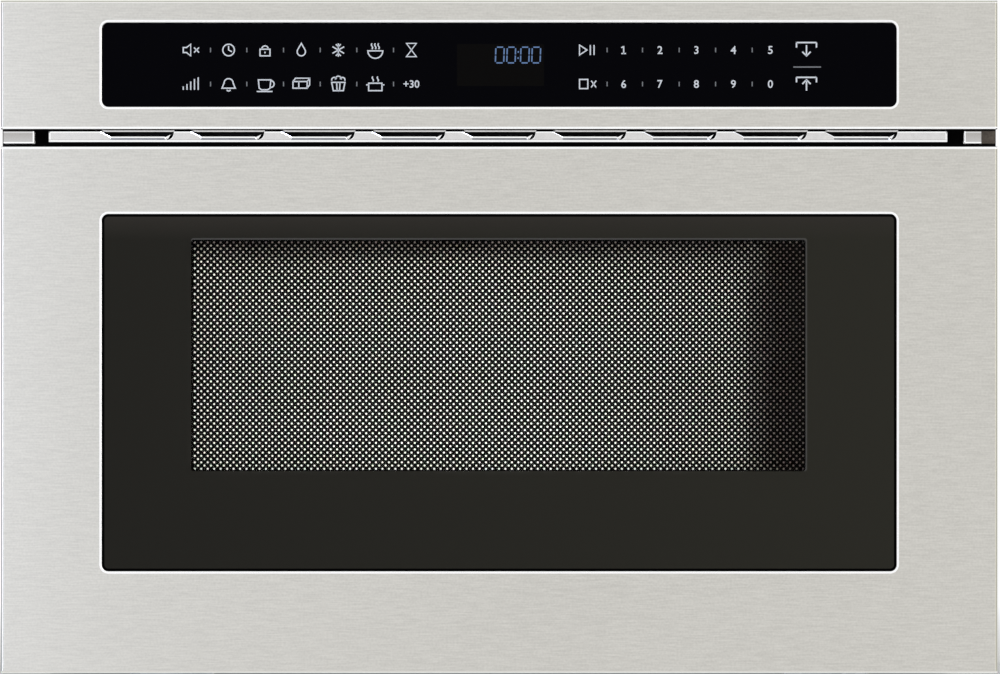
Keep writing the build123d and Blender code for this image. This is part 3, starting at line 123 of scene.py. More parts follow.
def areaLight(name, place, target, size, power, colour, spread=math.pi):
    data = bpy.data.lights.new(name, "AREA")
    data.shape = "RECTANGLE"
    data.size, data.size_y = size
    data.energy = power
    data.color = toLinear(colour)[:3]
    data.spread = spread
    lamp = bpy.data.objects.new(name, data)
    lamp.location = place
    lamp.rotation_euler = (Vector(target) - lamp.location).to_track_quat("-Z", "Y").to_euler()
    bpy.context.scene.collection.objects.link(lamp)
    return lamp


def makeCamera():
    scene = bpy.context.scene
    scene.view_settings.view_transform = "Standard"
    data = bpy.data.cameras.new("camera")
    data.sensor_width = studio["sensor"]
    data.lens = studio["sensor"] * studio["distance"] / (studio["photoWidth"] * studio["pixel"])
    data.clip_end = studio["clipEnd"]
    camera = bpy.data.objects.new("camera", data)
    camera.location = (photoX(studio["photoWidth"] / 2), frontY - studio["distance"],
                       photoZ(studio["photoHeight"] / 2))
    camera.rotation_euler = (math.pi / 2, 0, 0)
    scene.collection.objects.link(camera)
    scene.camera = camera


def makeSky():
    # white to the camera and in reflections, a softer white on the object itself
    world = bpy.data.worlds.new("studioWorld")
    bpy.context.scene.world = world
    world.use_nodes = True
    tree = world.node_tree
    tree.nodes.clear()
    add = functools.partial(addNode, tree)
    path = add("LightPath").outputs
    seen = add("Math", {"operation": "MAXIMUM", 0: path["Is Camera Ray"], 1: path["Is Transmission Ray"]})
    seen = add("Math", {"operation": "MAXIMUM", 0: seen, 1: path["Is Glossy Ray"]})
    strength = add("MapRange", {"Value": seen, "To Min": studio["ambient"], "To Max": 1.0})
    sky = add("Background", {"Color": "FFFFFF", "Strength": strength})
    add("OutputWorld", {"Surface": sky})


def makeFloorPaint():
    # satin paint that keeps the shadow near the object and runs out to white far from it, as a studio sweep
    # does; metal and glass show it as the white background
    material, add, paint, place = newMaterial("paleFloor")
    setSockets(paint, {"Base Color": studio["floorPaint"], "Roughness": studio["floorRough"]})
    path = add("LightPath").outputs
    mirrored = add("Math", {"operation": "MAXIMUM", 0: path["Is Glossy Ray"], 1: path["Is Transmission Ray"]})
    away = add("VectorMath", {"operation": "LENGTH", 0: place})
    far = add("MapRange", {"Value": away, "From Min": studio["sweep"][0], "From Max": studio["sweep"][1]})
    farSeen = add("Math", {"operation": "MULTIPLY", 0: path["Is Camera Ray"], 1: far})
    whitened = add("Math", {"operation": "MAXIMUM", 0: mirrored, 1: farSeen})
    white = add("Emission", {"Color": "FFFFFF", "Strength": 1.0})
    both = add("MixShader", {0: whitened, 1: paint, 2: white})
    setSockets(material.node_tree.nodes["Material Output"], {"Surface": both})
    return material


def makeFloor():
    half = studio["floorHalf"]
    corners = np.array([[-half, -half, 0], [half, -half, 0], [half, half, 0], [-half, half, 0]], float)
    mesh = bpy.data.meshes.new("floor")
    mesh.from_pydata(corners.tolist(), [], [(0, 1, 2, 3)])
    mesh.materials.append(makeFloorPaint())
    floor = bpy.data.objects.new("floor", mesh)
    bpy.context.scene.collection.objects.link(floor)
    return floor


def makeStudio():
    makeCamera()
    makeSky()
    made = {name: areaLight(name, place, studio["aim"], size, power, colour)
            for name, (place, size, power, colour) in lamps.items()}
    # the low key lamp leaves the floor alone, which would show it as a patch
    unlit = bpy.data.collections.new("unlitByKey")
    unlit.objects.link(makeFloor())
    made["keyLight"].light_linking.receiver_collection = unlit
    unlit.collection_objects[0].light_linking.link_state = "EXCLUDE"


makeStudio()
print("stage: camera and light")


# materials
# plain finishes: grain is the size in mm of the pattern along X, Y and Z, bump its strength and height in mm
finishes = {
    # satin anodised aluminium: an even silver, a soft mirror of what stands before it
    "satinAluminium": {
        "colour": "DCDBDA", "second": "D5D4D3", "grain": (3, 3, 3), "rough": (0.14, 0.2),
        "bump": (0.08, 0.02), "shader": {"Metallic": 1.0}},
    # the turned face under the pressed lips: a dull grey that is painted shade
    "underLipShade": {
        "colour": "96979A", "second": "86888B", "grain": (2, 0.9, 0.9), "rough": (0.3, 0.4),
        "bump": (0.1, 0.02), "shader": {"Metallic": 1.0}},
    # edges: a narrow white mirror with the faintest drag lines; the white is a painted highlight
    "paintedHighlightEdge": {
        "colour": "FFFFFF", "second": "F6F7F8", "grain": (9, 0.9, 0.9), "rough": (0.1, 0.2),
        "bump": (0.05, 0.01), "shader": {"Metallic": 1.0}},
    # vitreous black on the punched screen: no shine that would veil its holes
    "screenBlack": {
        "colour": "040404", "second": "020202", "grain": (0.9, 0.9, 0.9), "rough": (0.6, 0.7),
        "bump": (0.1, 0.02), "shader": {"Specular IOR Level": 0.02}},
    # fired enamel on the cavity: a warm grey with fine darker speckle, glossy
    "cavityEnamel": {
        "colour": "CFCDC6", "second": "A9A79F", "grain": (1.1, 1.1, 1.1), "detail": 1.0, "rough": (0.18, 0.3),
        "bump": (0.1, 0.03), "shader": {"IOR": 1.5, "Coat Weight": 0.3}},
    # black powder coat on the frame and the door pan: a dull sheen with a fine pebble; on the frame its black
    # also serves as painted shade in the gaps round the vent strip
    "blackCoat": {
        "colour": "08080A", "second": "040405", "grain": (0.9, 0.9, 0.9), "rough": (0.5, 0.62),
        "bump": (0.25, 0.04), "shader": {"Specular IOR Level": 0.1}},
    # hot-dip galvanised sheet: crystals of zinc 10 mm across, each its own grey, over soft clouds
    "zincPlated": {
        "colour": "C9CCCE", "second": "A5AAAD", "grain": (14, 14, 14), "detail": 5.0, "spangle": 10,
        "rough": (0.3, 0.46), "bump": (0.1, 0.02), "shader": {"Metallic": 1.0}},
    # bright zinc on rolled rails and hooks: drawn lines along the stroke
    "brightZinc": {
        "colour": "CFCFCB", "second": "B9BABA", "grain": (1.2, 60, 1.2), "rough": (0.2, 0.34),
        "bump": (0.12, 0.02), "shader": {"Metallic": 1.0}},
    # bare rolled aluminium of the waveguide and fins: cool, with fine rolling lines
    "rolledAluminium": {
        "colour": "CFD1D3", "second": "BFC2C6", "grain": (50, 1.0, 1.0), "rough": (0.28, 0.42),
        "bump": (0.1, 0.02), "shader": {"Metallic": 1.0}},
    # pressed mica sheet: pale brown flakes under a dull shine
    "micaSheet": {
        "colour": "B9A98A", "second": "9C8C6E", "grain": (6, 6, 6), "detail": 6.0, "rough": (0.4, 0.6),
        "bump": (0.2, 0.05)},
    # moulded PBT, spark-eroded: nearly black and matt, with a fine even pebble
    "blackMoulding": {
        "colour": "171718", "second": "101011", "grain": (0.8, 0.8, 0.8), "rough": (0.5, 0.65),
        "bump": (0.3, 0.04), "shader": {"Specular IOR Level": 0.3}},
    # moulded polypropylene of the drawer box: warm light grey, satin, faint flow marks
    "boxMoulding": {
        "colour": "D9D7D0", "second": "D2D0C8", "grain": (40, 40, 18), "rough": (0.32, 0.42),
        "bump": (0.08, 0.05), "shader": {"Subsurface Weight": 0.05, "Subsurface Radius": (0.002,) * 3}},
    # glass ceramic plate: off-white and glossy, with tiny grey specks
    "glassCeramic": {
        "colour": "E6E4DC", "second": "D4D2CA", "grain": (1.4, 1.4, 1.4), "detail": 1.0,
        "rough": (0.08, 0.16), "bump": (0.03, 0.02), "shader": {"IOR": 1.52, "Coat Weight": 0.5}},
    # EPDM rubber of the buffer: brown-grey and matt
    "softRubber": {
        "colour": "70675C", "second": "5E564E", "grain": (1.0, 1.0, 1.0), "rough": (0.6, 0.75),
        "bump": (0.2, 0.05), "shader": {"Specular IOR Level": 0.25}},
    # machined and moulded acetal of the gears and plungers: milky white, slightly waxy
    "acetal": {
        "colour": "E9E7DF", "second": "E0DED5", "grain": (8, 8, 8), "rough": (0.3, 0.42),
        "bump": (0.05, 0.03), "shader": {"Subsurface Weight": 0.1, "Subsurface Radius": (0.001,) * 3}},
    # dipped grey varnish over steel laminations and motor cans
    "varnishedSteel": {
        "colour": "6E6F72", "second": "55565A", "grain": (1.0, 1.0, 22), "rough": (0.35, 0.5),
        "bump": (0.2, 0.04), "shader": {"Metallic": 0.6}},
    # drawn aluminium can of the capacitor: bright, with faint draw lines
    "drawnAluminium": {
        "colour": "C8CACC", "second": "B8BABD", "grain": (1.0, 1.0, 40), "rough": (0.22, 0.34),
        "bump": (0.08, 0.02), "shader": {"Metallic": 1.0}},
}
plainDetail = 3.0                       # octaves of the noise where a finish gives none
noiseRange = {"From Min": 0.3, "From Max": 0.7}
spangleShare = 0.55                     # of the crystals' own greys against the clouds


def stretchedNoise(add, coords, grain, detail):
    # noise whose cells measure the grain along X, Y and Z
    scaled = add("Mapping", {"Vector": coords, "Scale": [1 / (size * mm) for size in grain]})
    return add("TexNoise", {"Vector": scaled, "Scale": 1.0, "Detail": detail})


def makeFinish(name):
    # the noise varies the colour and the roughness and lifts the surface
    material, add, shader, coords = newMaterial(name)
    look = finishes[name]
    noise = stretchedNoise(add, coords, look["grain"], look.get("detail", plainDetail))
    tone = add("MapRange", {"Value": noise, **noiseRange})
    if "spangle" in look:                       # crystals, each with a grey of its own
        flakes = add("TexVoronoi", {"Vector": coords, "Scale": 1 / (look["spangle"] * mm)})
        own = add("SeparateColor", {0: flakes.outputs["Color"]})
        tone = add("Mix", {"data_type": "FLOAT", 0: spangleShare, 2: tone, 3: own})
    colour = add("Mix", {"data_type": "RGBA", 0: tone, 6: look["colour"], 7: look["second"]})
    rough = add("MapRange", {"Value": tone, "To Min": look["rough"][0], "To Max": look["rough"][1]})
    strength, height = look["bump"]
    bump = add("Bump", {"Height": noise, "Strength": strength, "Distance": height * mm})
    setSockets(shader, {"Base Color": colour, "Roughness": rough, "Normal": bump, **look.get("shader", {})})
    return material


def cornerDistance(add, coords, left, right, low, high, radius):
    # distance outside a rectangle in X and Z shrunk by its corner radius: it equals the radius on the rounded
    # outline, so a limit on it draws the rectangle; the depth along Y doesn't count
    centre = ((left + right) / 2, 0, (low + high) / 2)
    inner = (max((right - left) / 2 - radius, 0), 1.0, max((high - low) / 2 - radius, 0))
    nought = (0, 0, 0)
    for operation, second in (("SUBTRACT", centre), ("ABSOLUTE", nought), ("SUBTRACT", inner),
                              ("MAXIMUM", nought)):
        coords = add("VectorMath", {"operation": operation, 0: coords, 1: second})
    return add("VectorMath", {"operation": "LENGTH", 0: coords})


stainlessLook = {
    "colour": "D1CFC9", "second": "C1BFB9",       # 430 stainless, brushed along X
    "grain": (11, 0.9, 0.9), "detail": 2.0,       # mm; a real grain is 0.1 mm wide, drawn as wide as shows
    # a slow change of tone and small flecks: size in mm, share beside the grain, octaves of noise
    "cloud": (160, 0.15, 1.0), "fleck": (1.3, 0.5, 0.0),
    "tone": (0.55, 1.1), "rough": (0.26, 0.36), "bump": (0.12, 0.02),
    # painted highlight on the edges round the glass and along the gap, and its width in mm
    "paintedHighlight": "FCFCFC", "rimWidth": 1.4,
    "glassRadius": 3.85, "glassGap": 0.15,        # mm, the panes' corners and the slit round them
    "facing": (-0.1, -0.2),                       # Y of the normal between a flange and the front
    # folds at the outline, from the outer edge inwards: start and end in mm, and colour: bands of painted
    # highlight and painted shade, the left, top and low folds lit, the right one shaded
    "leftFold": ((0.0, 0.6, "94989D"), (0.6, 1.15, "FFFFFF"), (1.2, 1.6, "A09F9A")),
    "rightFold": ((0.0, 1.2, "B2B0A4"),),
    "topFold": ((0.0, 0.3, "8B8C84"), (0.3, 0.85, "A3A49B"), (0.85, 1.45, "ECEAE7")),
    "lowFold": ((0.0, 0.5, "F4F3F0"), (0.5, 1.1, "D8D6D0")),
    # mm of the fascia's and the drawer front's edges that lie in the gap's shade
    "shade": "141312", "shadeWidth": (0.46, 0.2),
}


def makeStainless():
    # ferritic stainless, belt-brushed: a soft grey mirror drawn out in fine level lines
    material, add, shader, coords = newMaterial("brushedStainless")
    look = stainlessLook
    grain = stretchedNoise(add, coords, look["grain"], look["detail"])
    tone = grain
    for size, share, detail in (look["cloud"], look["fleck"]):
        noise = add("TexNoise", {"Vector": coords, "Scale": 1 / (size * mm), "Detail": detail})
        tone = add("Math", {"operation": "MULTIPLY_ADD", 0: noise, 1: share, 2: tone})
    factor = add("MapRange", {"Value": tone, "From Min": look["tone"][0], "From Max": look["tone"][1]})
    colour = add("Mix", {"data_type": "RGBA", 0: factor, 6: look["colour"], 7: look["second"]})

    axes = add("SeparateXYZ", {0: coords}).outputs
    # the flanges that run back from the front are left as brushed
    normal = add("NewGeometry").outputs["Normal"]
    forward = add("SeparateXYZ", {0: normal}).outputs["Y"]
    facing = add("MapRange", {"Value": forward, "From Min": look["facing"][0], "From Max": look["facing"][1]})
    low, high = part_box("drawer_front_panel")
    fasciaLow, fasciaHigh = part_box("control_fascia")
    # paints highlight and shade onto the folds at the outline, side by side
    for axis, edge, inward, folds in (
            ("X", low.x, 1, look["leftFold"]), ("X", high.x, -1, look["rightFold"]),
            ("Z", fasciaHigh.z, -1, look["topFold"]), ("Z", low.z, 1, look["lowFold"])):
        for start, end, foldLightAndShade in folds:
            there = add("Math", {"operation": "COMPARE", 0: axes[axis],
                                 1: edge + inward * (start + end) / 2 * mm, 2: (end - start) / 2 * mm})
            there = add("Math", {"operation": "MULTIPLY", 0: there, 1: facing})
            colour = add("Mix", {"data_type": "RGBA", 0: there, 6: colour, 7: foldLightAndShade})

    # along the gap: painted highlight on the edges on both sides, and painted shade on the slivers of both
    # that the gap's shade reaches
    rim = look["rimWidth"] * mm
    upperShade, lowerShade = [width * mm for width in look["shadeWidth"]]
    bright, upper, lower = [
        add("Math", {"operation": "COMPARE", 0: axes["Z"], 1: (start + end) / 2, 2: (end - start) / 2})
        for start, end in ((high.z - rim, fasciaLow.z + rim), (fasciaLow.z - mm, fasciaLow.z + upperShade),
                           (high.z - lowerShade, high.z + mm))]
    shade = add("Math", {"operation": "MAXIMUM", 0: upper, 1: lower})
    for pane in ("touch_glass", "door_glass"):
        low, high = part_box(pane)
        away = cornerDistance(add, coords, low.x, high.x, low.z, high.z, look["glassRadius"] * mm)
        reach = (look["glassRadius"] + look["glassGap"] + look["rimWidth"]) * mm
        near = add("Math", {"operation": "LESS_THAN", 0: away, 1: reach})
        bright = add("Math", {"operation": "MAXIMUM", 0: bright, 1: near})
    bright = add("Math", {"operation": "MULTIPLY", 0: bright, 1: facing})
    # paints the highlight on the edges, then the shade in the gap, into the base colour
    for mask, second in ((bright, look["paintedHighlight"]), (shade, look["shade"])):
        colour = add("Mix", {"data_type": "RGBA", 0: mask, 6: colour, 7: second})
    rough = add("MapRange", {"Value": grain, "To Min": look["rough"][0], "To Max": look["rough"][1]})
    strength, height = look["bump"]
    bump = add("Bump", {"Height": grain, "Strength": strength, "Distance": height * mm})
    setSockets(shader, {"Base Color": colour, "Roughness": rough, "Normal": bump, "Metallic": 1.0,
                        "Anisotropic": 0.5, "Anisotropic Rotation": 0.25})
    return material


doorGlassLook = {
    "fritLeft": "282723", "fritRight": "31302A", "fritTop": "373430",   # printed border, fired on, its tone lighter to the right and upwards
    "cornerRadius": 3.85, "edge": "010101", "edgeWidth": 1.5,           # mm, a near-black band round the pane's edge
    # left, right, low and high of the clear field and of the print round it: a pale line between them
    # shows along the top and the right
    "clear": (photoX(191.0), photoX(805.6), photoZ(471.2), photoZ(239.7)),
    "printed": (photoX(191.0), photoX(807.1), photoZ(471.2), photoZ(238.1)),
    "line": "4E4D4B", "radius": 1.6,
    "smear": 70, "rough": 0.03,                   # mm across each wiped patch, and the roughness it adds
}


def makeDoorGlass():
    # float glass with a printed border: clear over the screen, near black and glossy round it
    material, add, shader, coords = newMaterial("printedDoorGlass")
    look = doorGlassLook
    low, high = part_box("door_glass")
    axes = add("SeparateXYZ", {0: coords}).outputs
    across = add("MapRange", {"Value": axes["X"], "From Min": low.x, "From Max": high.x})
    upward = add("MapRange", {"Value": axes["Z"], "From Min": look["clear"][3], "From Max": high.z})
    corner, radius = look["cornerRadius"] * mm, look["radius"] * mm
    pane = cornerDistance(add, coords, low.x, high.x, low.z, high.z, corner)
    printed = cornerDistance(add, coords, *look["printed"], radius)
    clear = cornerDistance(add, coords, *look["clear"], radius)
    atRim, outside, pastLine = [
        add("Math", {"operation": "GREATER_THAN", 0: distance, 1: limit})
        for distance, limit in ((pane, corner - look["edgeWidth"] * mm), (printed, radius), (clear, radius))]
    colour = look["fritLeft"]
    for mask, second in ((across, look["fritRight"]), (upward, look["fritTop"]), (atRim, look["edge"])):
        colour = add("Mix", {"data_type": "RGBA", 0: mask, 6: colour, 7: second})
    for mask, first in ((outside, look["line"]), (pastLine, "FFFFFF")):
        colour = add("Mix", {"data_type": "RGBA", 0: mask, 6: first, 7: colour})
    through = add("Math", {"operation": "SUBTRACT", 0: 1.0, 1: pastLine})
    smear = add("TexNoise", {"Vector": coords, "Scale": 1 / (look["smear"] * mm), "Detail": 2.0})
    rough = add("MapRange", {"Value": smear, "To Min": 0.0, "To Max": look["rough"]})
    rough = add("Math", {"operation": "MULTIPLY", 0: rough, 1: pastLine})
    # bare glass has an index of 1.5: the low one stands for a coating that cuts its mirror image
    setSockets(shader, {"Base Color": colour, "Transmission Weight": through, "Roughness": rough, "IOR": 1.1,
                        "Specular IOR Level": 0.3})
    return material


touchGlassLook = {
    "colour": "040408", "window": "0C0B0B",        # printed back, and the smoked window of the display
    "field": (photoX(457.0), photoX(544.0), photoZ(86.0), photoZ(44.0)), "radius": 0.8,
    "smear": 60, "rough": (0.02, 0.06),
}


def makeTouchGlass():
    # black-printed float glass with a coating that cuts its reflection
    material, add, shader, coords = newMaterial("coatedTouchGlass")
    look = touchGlassLook
    field = cornerDistance(add, coords, *look["field"], look["radius"] * mm)
    outside = add("Math", {"operation": "GREATER_THAN", 0: field, 1: look["radius"] * mm})
    colour = add("Mix", {"data_type": "RGBA", 0: outside, 6: look["window"], 7: look["colour"]})
    smear = add("TexNoise", {"Vector": coords, "Scale": 1 / (look["smear"] * mm), "Detail": 2.0})
    rough = add("MapRange", {"Value": smear, "To Min": look["rough"][0], "To Max": look["rough"][1]})
    setSockets(shader, {"Base Color": colour, "Roughness": rough, "IOR": 1.5, "Specular IOR Level": 0.015})
    return material


windingsLook = {
    "wire": 1.4, "perWave": 20,             # mm between wires; a wave texture has about 20 bands in one unit
    # gap: painted shade between the wires
    "wobble": 0.3, "gap": "5A2A14", "varnish": "B8703F", "bump": (0.6, 0.3),
}


def makeWindings():
    # enamelled copper wire in close layers: round wires, with painted shade in the gaps between them
    material, add, shader, coords = newMaterial("enamelledCopper")
    look = windingsLook
    wires = add("TexWave", {"bands_direction": "Z", "Vector": coords,
                            "Scale": 1 / (look["wire"] * mm) / look["perWave"],
                            "Distortion": look["wobble"]}).outputs["Fac"]
    colour = add("Mix", {"data_type": "RGBA", 0: wires, 6: look["gap"], 7: look["varnish"]})
    strength, height = look["bump"]
    bump = add("Bump", {"Height": wires, "Strength": strength, "Distance": height * mm})
    setSockets(shader, {"Base Color": colour, "Normal": bump, "Metallic": 0.8, "Roughness": 0.35,
                        "Coat Weight": 0.4})
    return material


boardLook = {
    # mm: copper tracks, then the board's top above the foot of power_board and the height of the parts on it
    "trackLength": 9, "trackPitch": 2.5, "trackGap": 0.35, "top": 7.8, "partHeight": 44,
    "first": "1E5A33", "second": "19502D", "track": "2F7A48", "part": "2B2B2D",
}


def makeBoard():
    # green solder mask over copper tracks; the parts above the board are dark mouldings
    material, add, shader, coords = newMaterial("solderMask")
    look = boardLook
    tracks = add("TexBrick", {"Vector": coords, "Scale": 1.0, "Brick Width": look["trackLength"] * mm,
                              "Row Height": look["trackPitch"] * mm, "Mortar Size": look["trackGap"] * mm,
                              "Color1": look["first"], "Color2": look["second"], "Mortar": look["track"]})
    height = add("SeparateXYZ", {0: coords}).outputs["Z"]
    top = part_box("power_board")[0].z + look["top"] * mm
    above = add("Math", {"operation": "GREATER_THAN", 0: height, 1: top})
    below = add("Math", {"operation": "LESS_THAN", 0: height, 1: top + look["partHeight"] * mm})
    inPart = add("Math", {"operation": "MULTIPLY", 0: above, 1: below})
    colour = add("Mix", {"data_type": "RGBA", 0: inPart, 6: tracks, 7: look["part"]})
    setSockets(shader, {"Base Color": colour, "Roughness": 0.35})
    return material


bracketLook = {
    # mm: the plate ends short of the fascia and hangs a little below the strip; widths of its edge bands
    "topDrop": 1.1, "lowDrop": 0.7, "band": 1.0, "line": (0.55, 1.15),
    # mm: what moves with each flange, the bevel and the welding distance; degrees: bevelled from, flat below
    "nearEdge": 1.3, "bevel": 0.15, "weld": 0.01, "sharp": 30, "flat": 2,
    "inner": photoX(964.5),         # the inner edge of the right block, and of the left one mirrored
    # top: painted shade under the fascia; bright: painted highlight on the edges; shade: painted shade round
    # the buffer
    "top": "AEABA7", "low": "C6C5C4", "bright": "FFFFFF", "lineTone": "DADADB", "shade": "5F5951",
    "grit": 1.5, "rough": (0.12, 0.18),
}


def makeBracketNickel():
    # satin nickel plate: neutral and even, with painted shade under the fascia and painted highlight on its
    # cut edges
    material, add, shader, coords = newMaterial("satinNickel")
    look = bracketLook
    low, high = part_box("fascia_brackets")
    bottom, top = low.z - look["lowDrop"] * mm, high.z - look["topDrop"] * mm
    axes = add("SeparateXYZ", {0: coords}).outputs
    rise = add("MapRange", {"Value": axes["Z"], "From Min": bottom, "From Max": top})
    across = add("Math", {"operation": "ABSOLUTE", 0: axes["X"]})
    lineStart, lineEnd = look["line"]
    inner, width = look["inner"], look["band"] * mm
    line, lowEdge, innerEdge = [
        add("Math", {"operation": "COMPARE", 0: axis, 1: (start + end) / 2, 2: (end - start) / 2})
        for axis, start, end in ((axes["Z"], top - lineEnd * mm, top - lineStart * mm),
                                 (axes["Z"], bottom - mm, bottom + width),
                                 (across, inner - mm, inner + width))]
    edges = add("Math", {"operation": "MAXIMUM", 0: lowEdge, 1: innerEdge})
    # in shade round the buffer
    padSide = add("Math", {"operation": "GREATER_THAN", 0: axes["X"], 1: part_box("bumper_pad")[0].x})
    colour = look["low"]
    for mask, second in ((rise, look["top"]), (line, look["lineTone"]), (edges, look["bright"]),
                         (padSide, look["shade"])):
        colour = add("Mix", {"data_type": "RGBA", 0: mask, 6: colour, 7: second})
    grit = add("TexNoise", {"Vector": coords, "Scale": 1 / (look["grit"] * mm)})
    rough = add("MapRange", {"Value": grit, "To Min": look["rough"][0], "To Max": look["rough"][1]})
    setSockets(shader, {"Base Color": colour, "Roughness": rough, "Metallic": 1.0})
    return material


lampLook = {
    "haze": 4,                                     # mm
    "colour": "FFF1D6", "second": "FFE2B0", "lit": "FFE3B8",
}


def makeLampGlass():
    # clear soda glass of a small oven lamp, lit: warm, with a faint haze
    material, add, shader, coords = newMaterial("lampGlass")
    look = lampLook
    haze = add("TexNoise", {"Vector": coords, "Scale": 1 / (look["haze"] * mm)})
    colour = add("Mix", {"data_type": "RGBA", 0: haze, 6: look["colour"], 7: look["second"]})
    setSockets(shader, {"Base Color": colour, "Roughness": 0.2, "Transmission Weight": 0.5,
                        "Emission Color": look["lit"], "Emission Strength": 1.5})
    return material


inkLook = {
    # the legend and tick inks get a faint painted glow; only the segments are lit
    "legendInk": {"colour": "D9DEE6", "base": "D9DEE6", "glow": 0.1},
    "tickInk": {"colour": "7C7F84", "base": "7C7F84", "glow": 0.05},
    "litSegments": {"colour": "5D7AA6", "base": "060608", "glow": 1.0},
    "grit": 0.4, "tone": (0.9, 1.0),               # mm, and how far the grit darkens the ink
}


def makeInk(name):
    # screen-printed ceramic ink with a faint painted glow, or the lit segments behind the glass
    material, add, shader, coords = newMaterial(name)
    look = inkLook[name]
    grit = add("TexNoise", {"Vector": coords, "Scale": 1 / (inkLook["grit"] * mm)})
    low = add("MapRange", {"Value": grit, "To Min": inkLook["tone"][0], "To Max": inkLook["tone"][1]})
    shade = add("Mix", {"data_type": "RGBA", "blend_type": "MULTIPLY", 0: 1.0, 6: look["base"], 7: low})
    setSockets(shader, {"Base Color": shade, "Roughness": 0.5, "Specular IOR Level": 0.2,
                        "Emission Color": look["colour"], "Emission Strength": look["glow"]})
    return material


plainSlots = {
    "galvanised": "zincPlated", "frame_enamel": "blackCoat", "vent_strip": "satinAluminium",
    "cavity_enamel": "cavityEnamel", "plated_steel": "brightZinc", "waveguide_metal": "rolledAluminium",
    "mica": "micaSheet", "black_plastic": "blackMoulding", "box_plastic": "boxMoulding",
    "ceramic": "glassCeramic", "rubber": "softRubber", "acetal": "acetal", "motor_steel": "varnishedSteel",
    "can_aluminium": "drawnAluminium",
}
finishOfSlot = {
    "stainless": makeStainless(), "black_glass": makeTouchGlass(), "window_glass": makeDoorGlass(),
    "copper": makeWindings(), "circuit_board": makeBoard(), "lamp_glass": makeLampGlass(),
    **{slot: makeFinish(name) for slot, name in plainSlots.items()},
}
finishOfNode = {"fascia_brackets": makeBracketNickel()}
# white edges: a painted highlight
paintedHighlight = makeFinish("paintedHighlightEdge")
for nodeName, node in frame["nodes"].items():
    if not node.material_slots:
        node.data.materials.append(None)
    for holder in node.material_slots:
        holder.material = finishOfNode.get(nodeName, finishOfSlot[slotOf[nodeName]])
print("stage: materials")


# sheet pieces
def addPiece(name, mesh, body):
    piece = bpy.data.objects.new(name, mesh)
    bpy.context.scene.collection.objects.link(piece)
    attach(piece, body)
    return piece


def makePiece(name, points, faces, materials, body, slotName, which=None):
    # which holds, for each face, the place of its material among the materials
    mesh = bpy.data.meshes.new(name)
    mesh.from_pydata(points.tolist(), [], faces)
    for material in materials:
        mesh.materials.append(material)
    if which is not None:
        mesh.polygons.foreach_set("material_index", which)
    mesh.update()
    return addPiece(name, mesh, body)


def turnOutwards(mesh):
    form = bmesh.new()
    form.from_mesh(mesh)
    bmesh.ops.recalc_face_normals(form, faces=form.faces)
    form.to_mesh(mesh)
    form.free()


def gathered(parts):
    # several parts as one: the faces of each are moved on by the points before it
    points, faces, start = [], [], 0
    for places, group in parts:
        points.append(places)
        faces += [np.asarray(face) + start for face in group]
        start += len(places)
    return np.concatenate(points), faces


def sheetFrom(flat, faces, front, back):
    # a flat outline in X and Z given a thickness: the faces at the front depth, the same faces turned over at
    # the back depth, and one wall along every edge that only one face uses
    welded, index = np.unique(np.round(flat, 8), axis=0, return_inverse=True)
    index = index.ravel()
    count = len(welded)
    points = np.zeros((2 * count, 3))
    points[:count, 0], points[:count, 2], points[:count, 1] = welded[:, 0], welded[:, 1], front
    points[count:, 0], points[count:, 2], points[count:, 1] = welded[:, 0], welded[:, 1], back
    joined, starts, ends = [], [], []
    for group in faces:                                 # one array per number of corners
        group = index[group]
        joined += group.tolist() + (group[:, ::-1] + count).tolist()
        starts.append(group.ravel())
        ends.append(np.roll(group, -1, axis=1).ravel())
    starts, ends = np.concatenate(starts), np.concatenate(ends)
    lone = ~np.isin(starts * count + ends, ends * count + starts)
    a, b = starts[lone], ends[lone]
    return points, joined + np.stack([b, a, a + count, b + count], axis=1).tolist()


screenLook = {
    "pitch": 3.954 * mm,            # of the centred lattice
    "holeRadius": 0.665 * mm,
    "columns": 95, "rows": 36,
    "middleX": photoX(498.92), "middleZ": photoZ(355.61),
}


def screenNotches(left, right, bottom, top, pitch):
    # plain triangles that fill the notches between the cells along the four sides of the field
    half = pitch / 2
    notches = []
    alongX = left + pitch * np.arange(screenLook["columns"] - 1)
    alongZ = bottom + pitch * np.arange(screenLook["rows"] - 1)
    for along, line, outward, swap in ((alongX, bottom, -half, False), (alongX, top, half, False),
                                       (alongZ, left, -half, True), (alongZ, right, half, True)):
        edge = np.full(len(along), line)
        three = np.stack([np.stack([along, edge + outward], 1), np.stack([along + pitch, edge + outward], 1),
                          np.stack([along + half, edge], 1)], axis=1)
        three = three[:, :, ::-1] if swap else three
        notches.append(three[:, ::-1] if (outward > 0) != swap else three)
    return np.concatenate(notches)


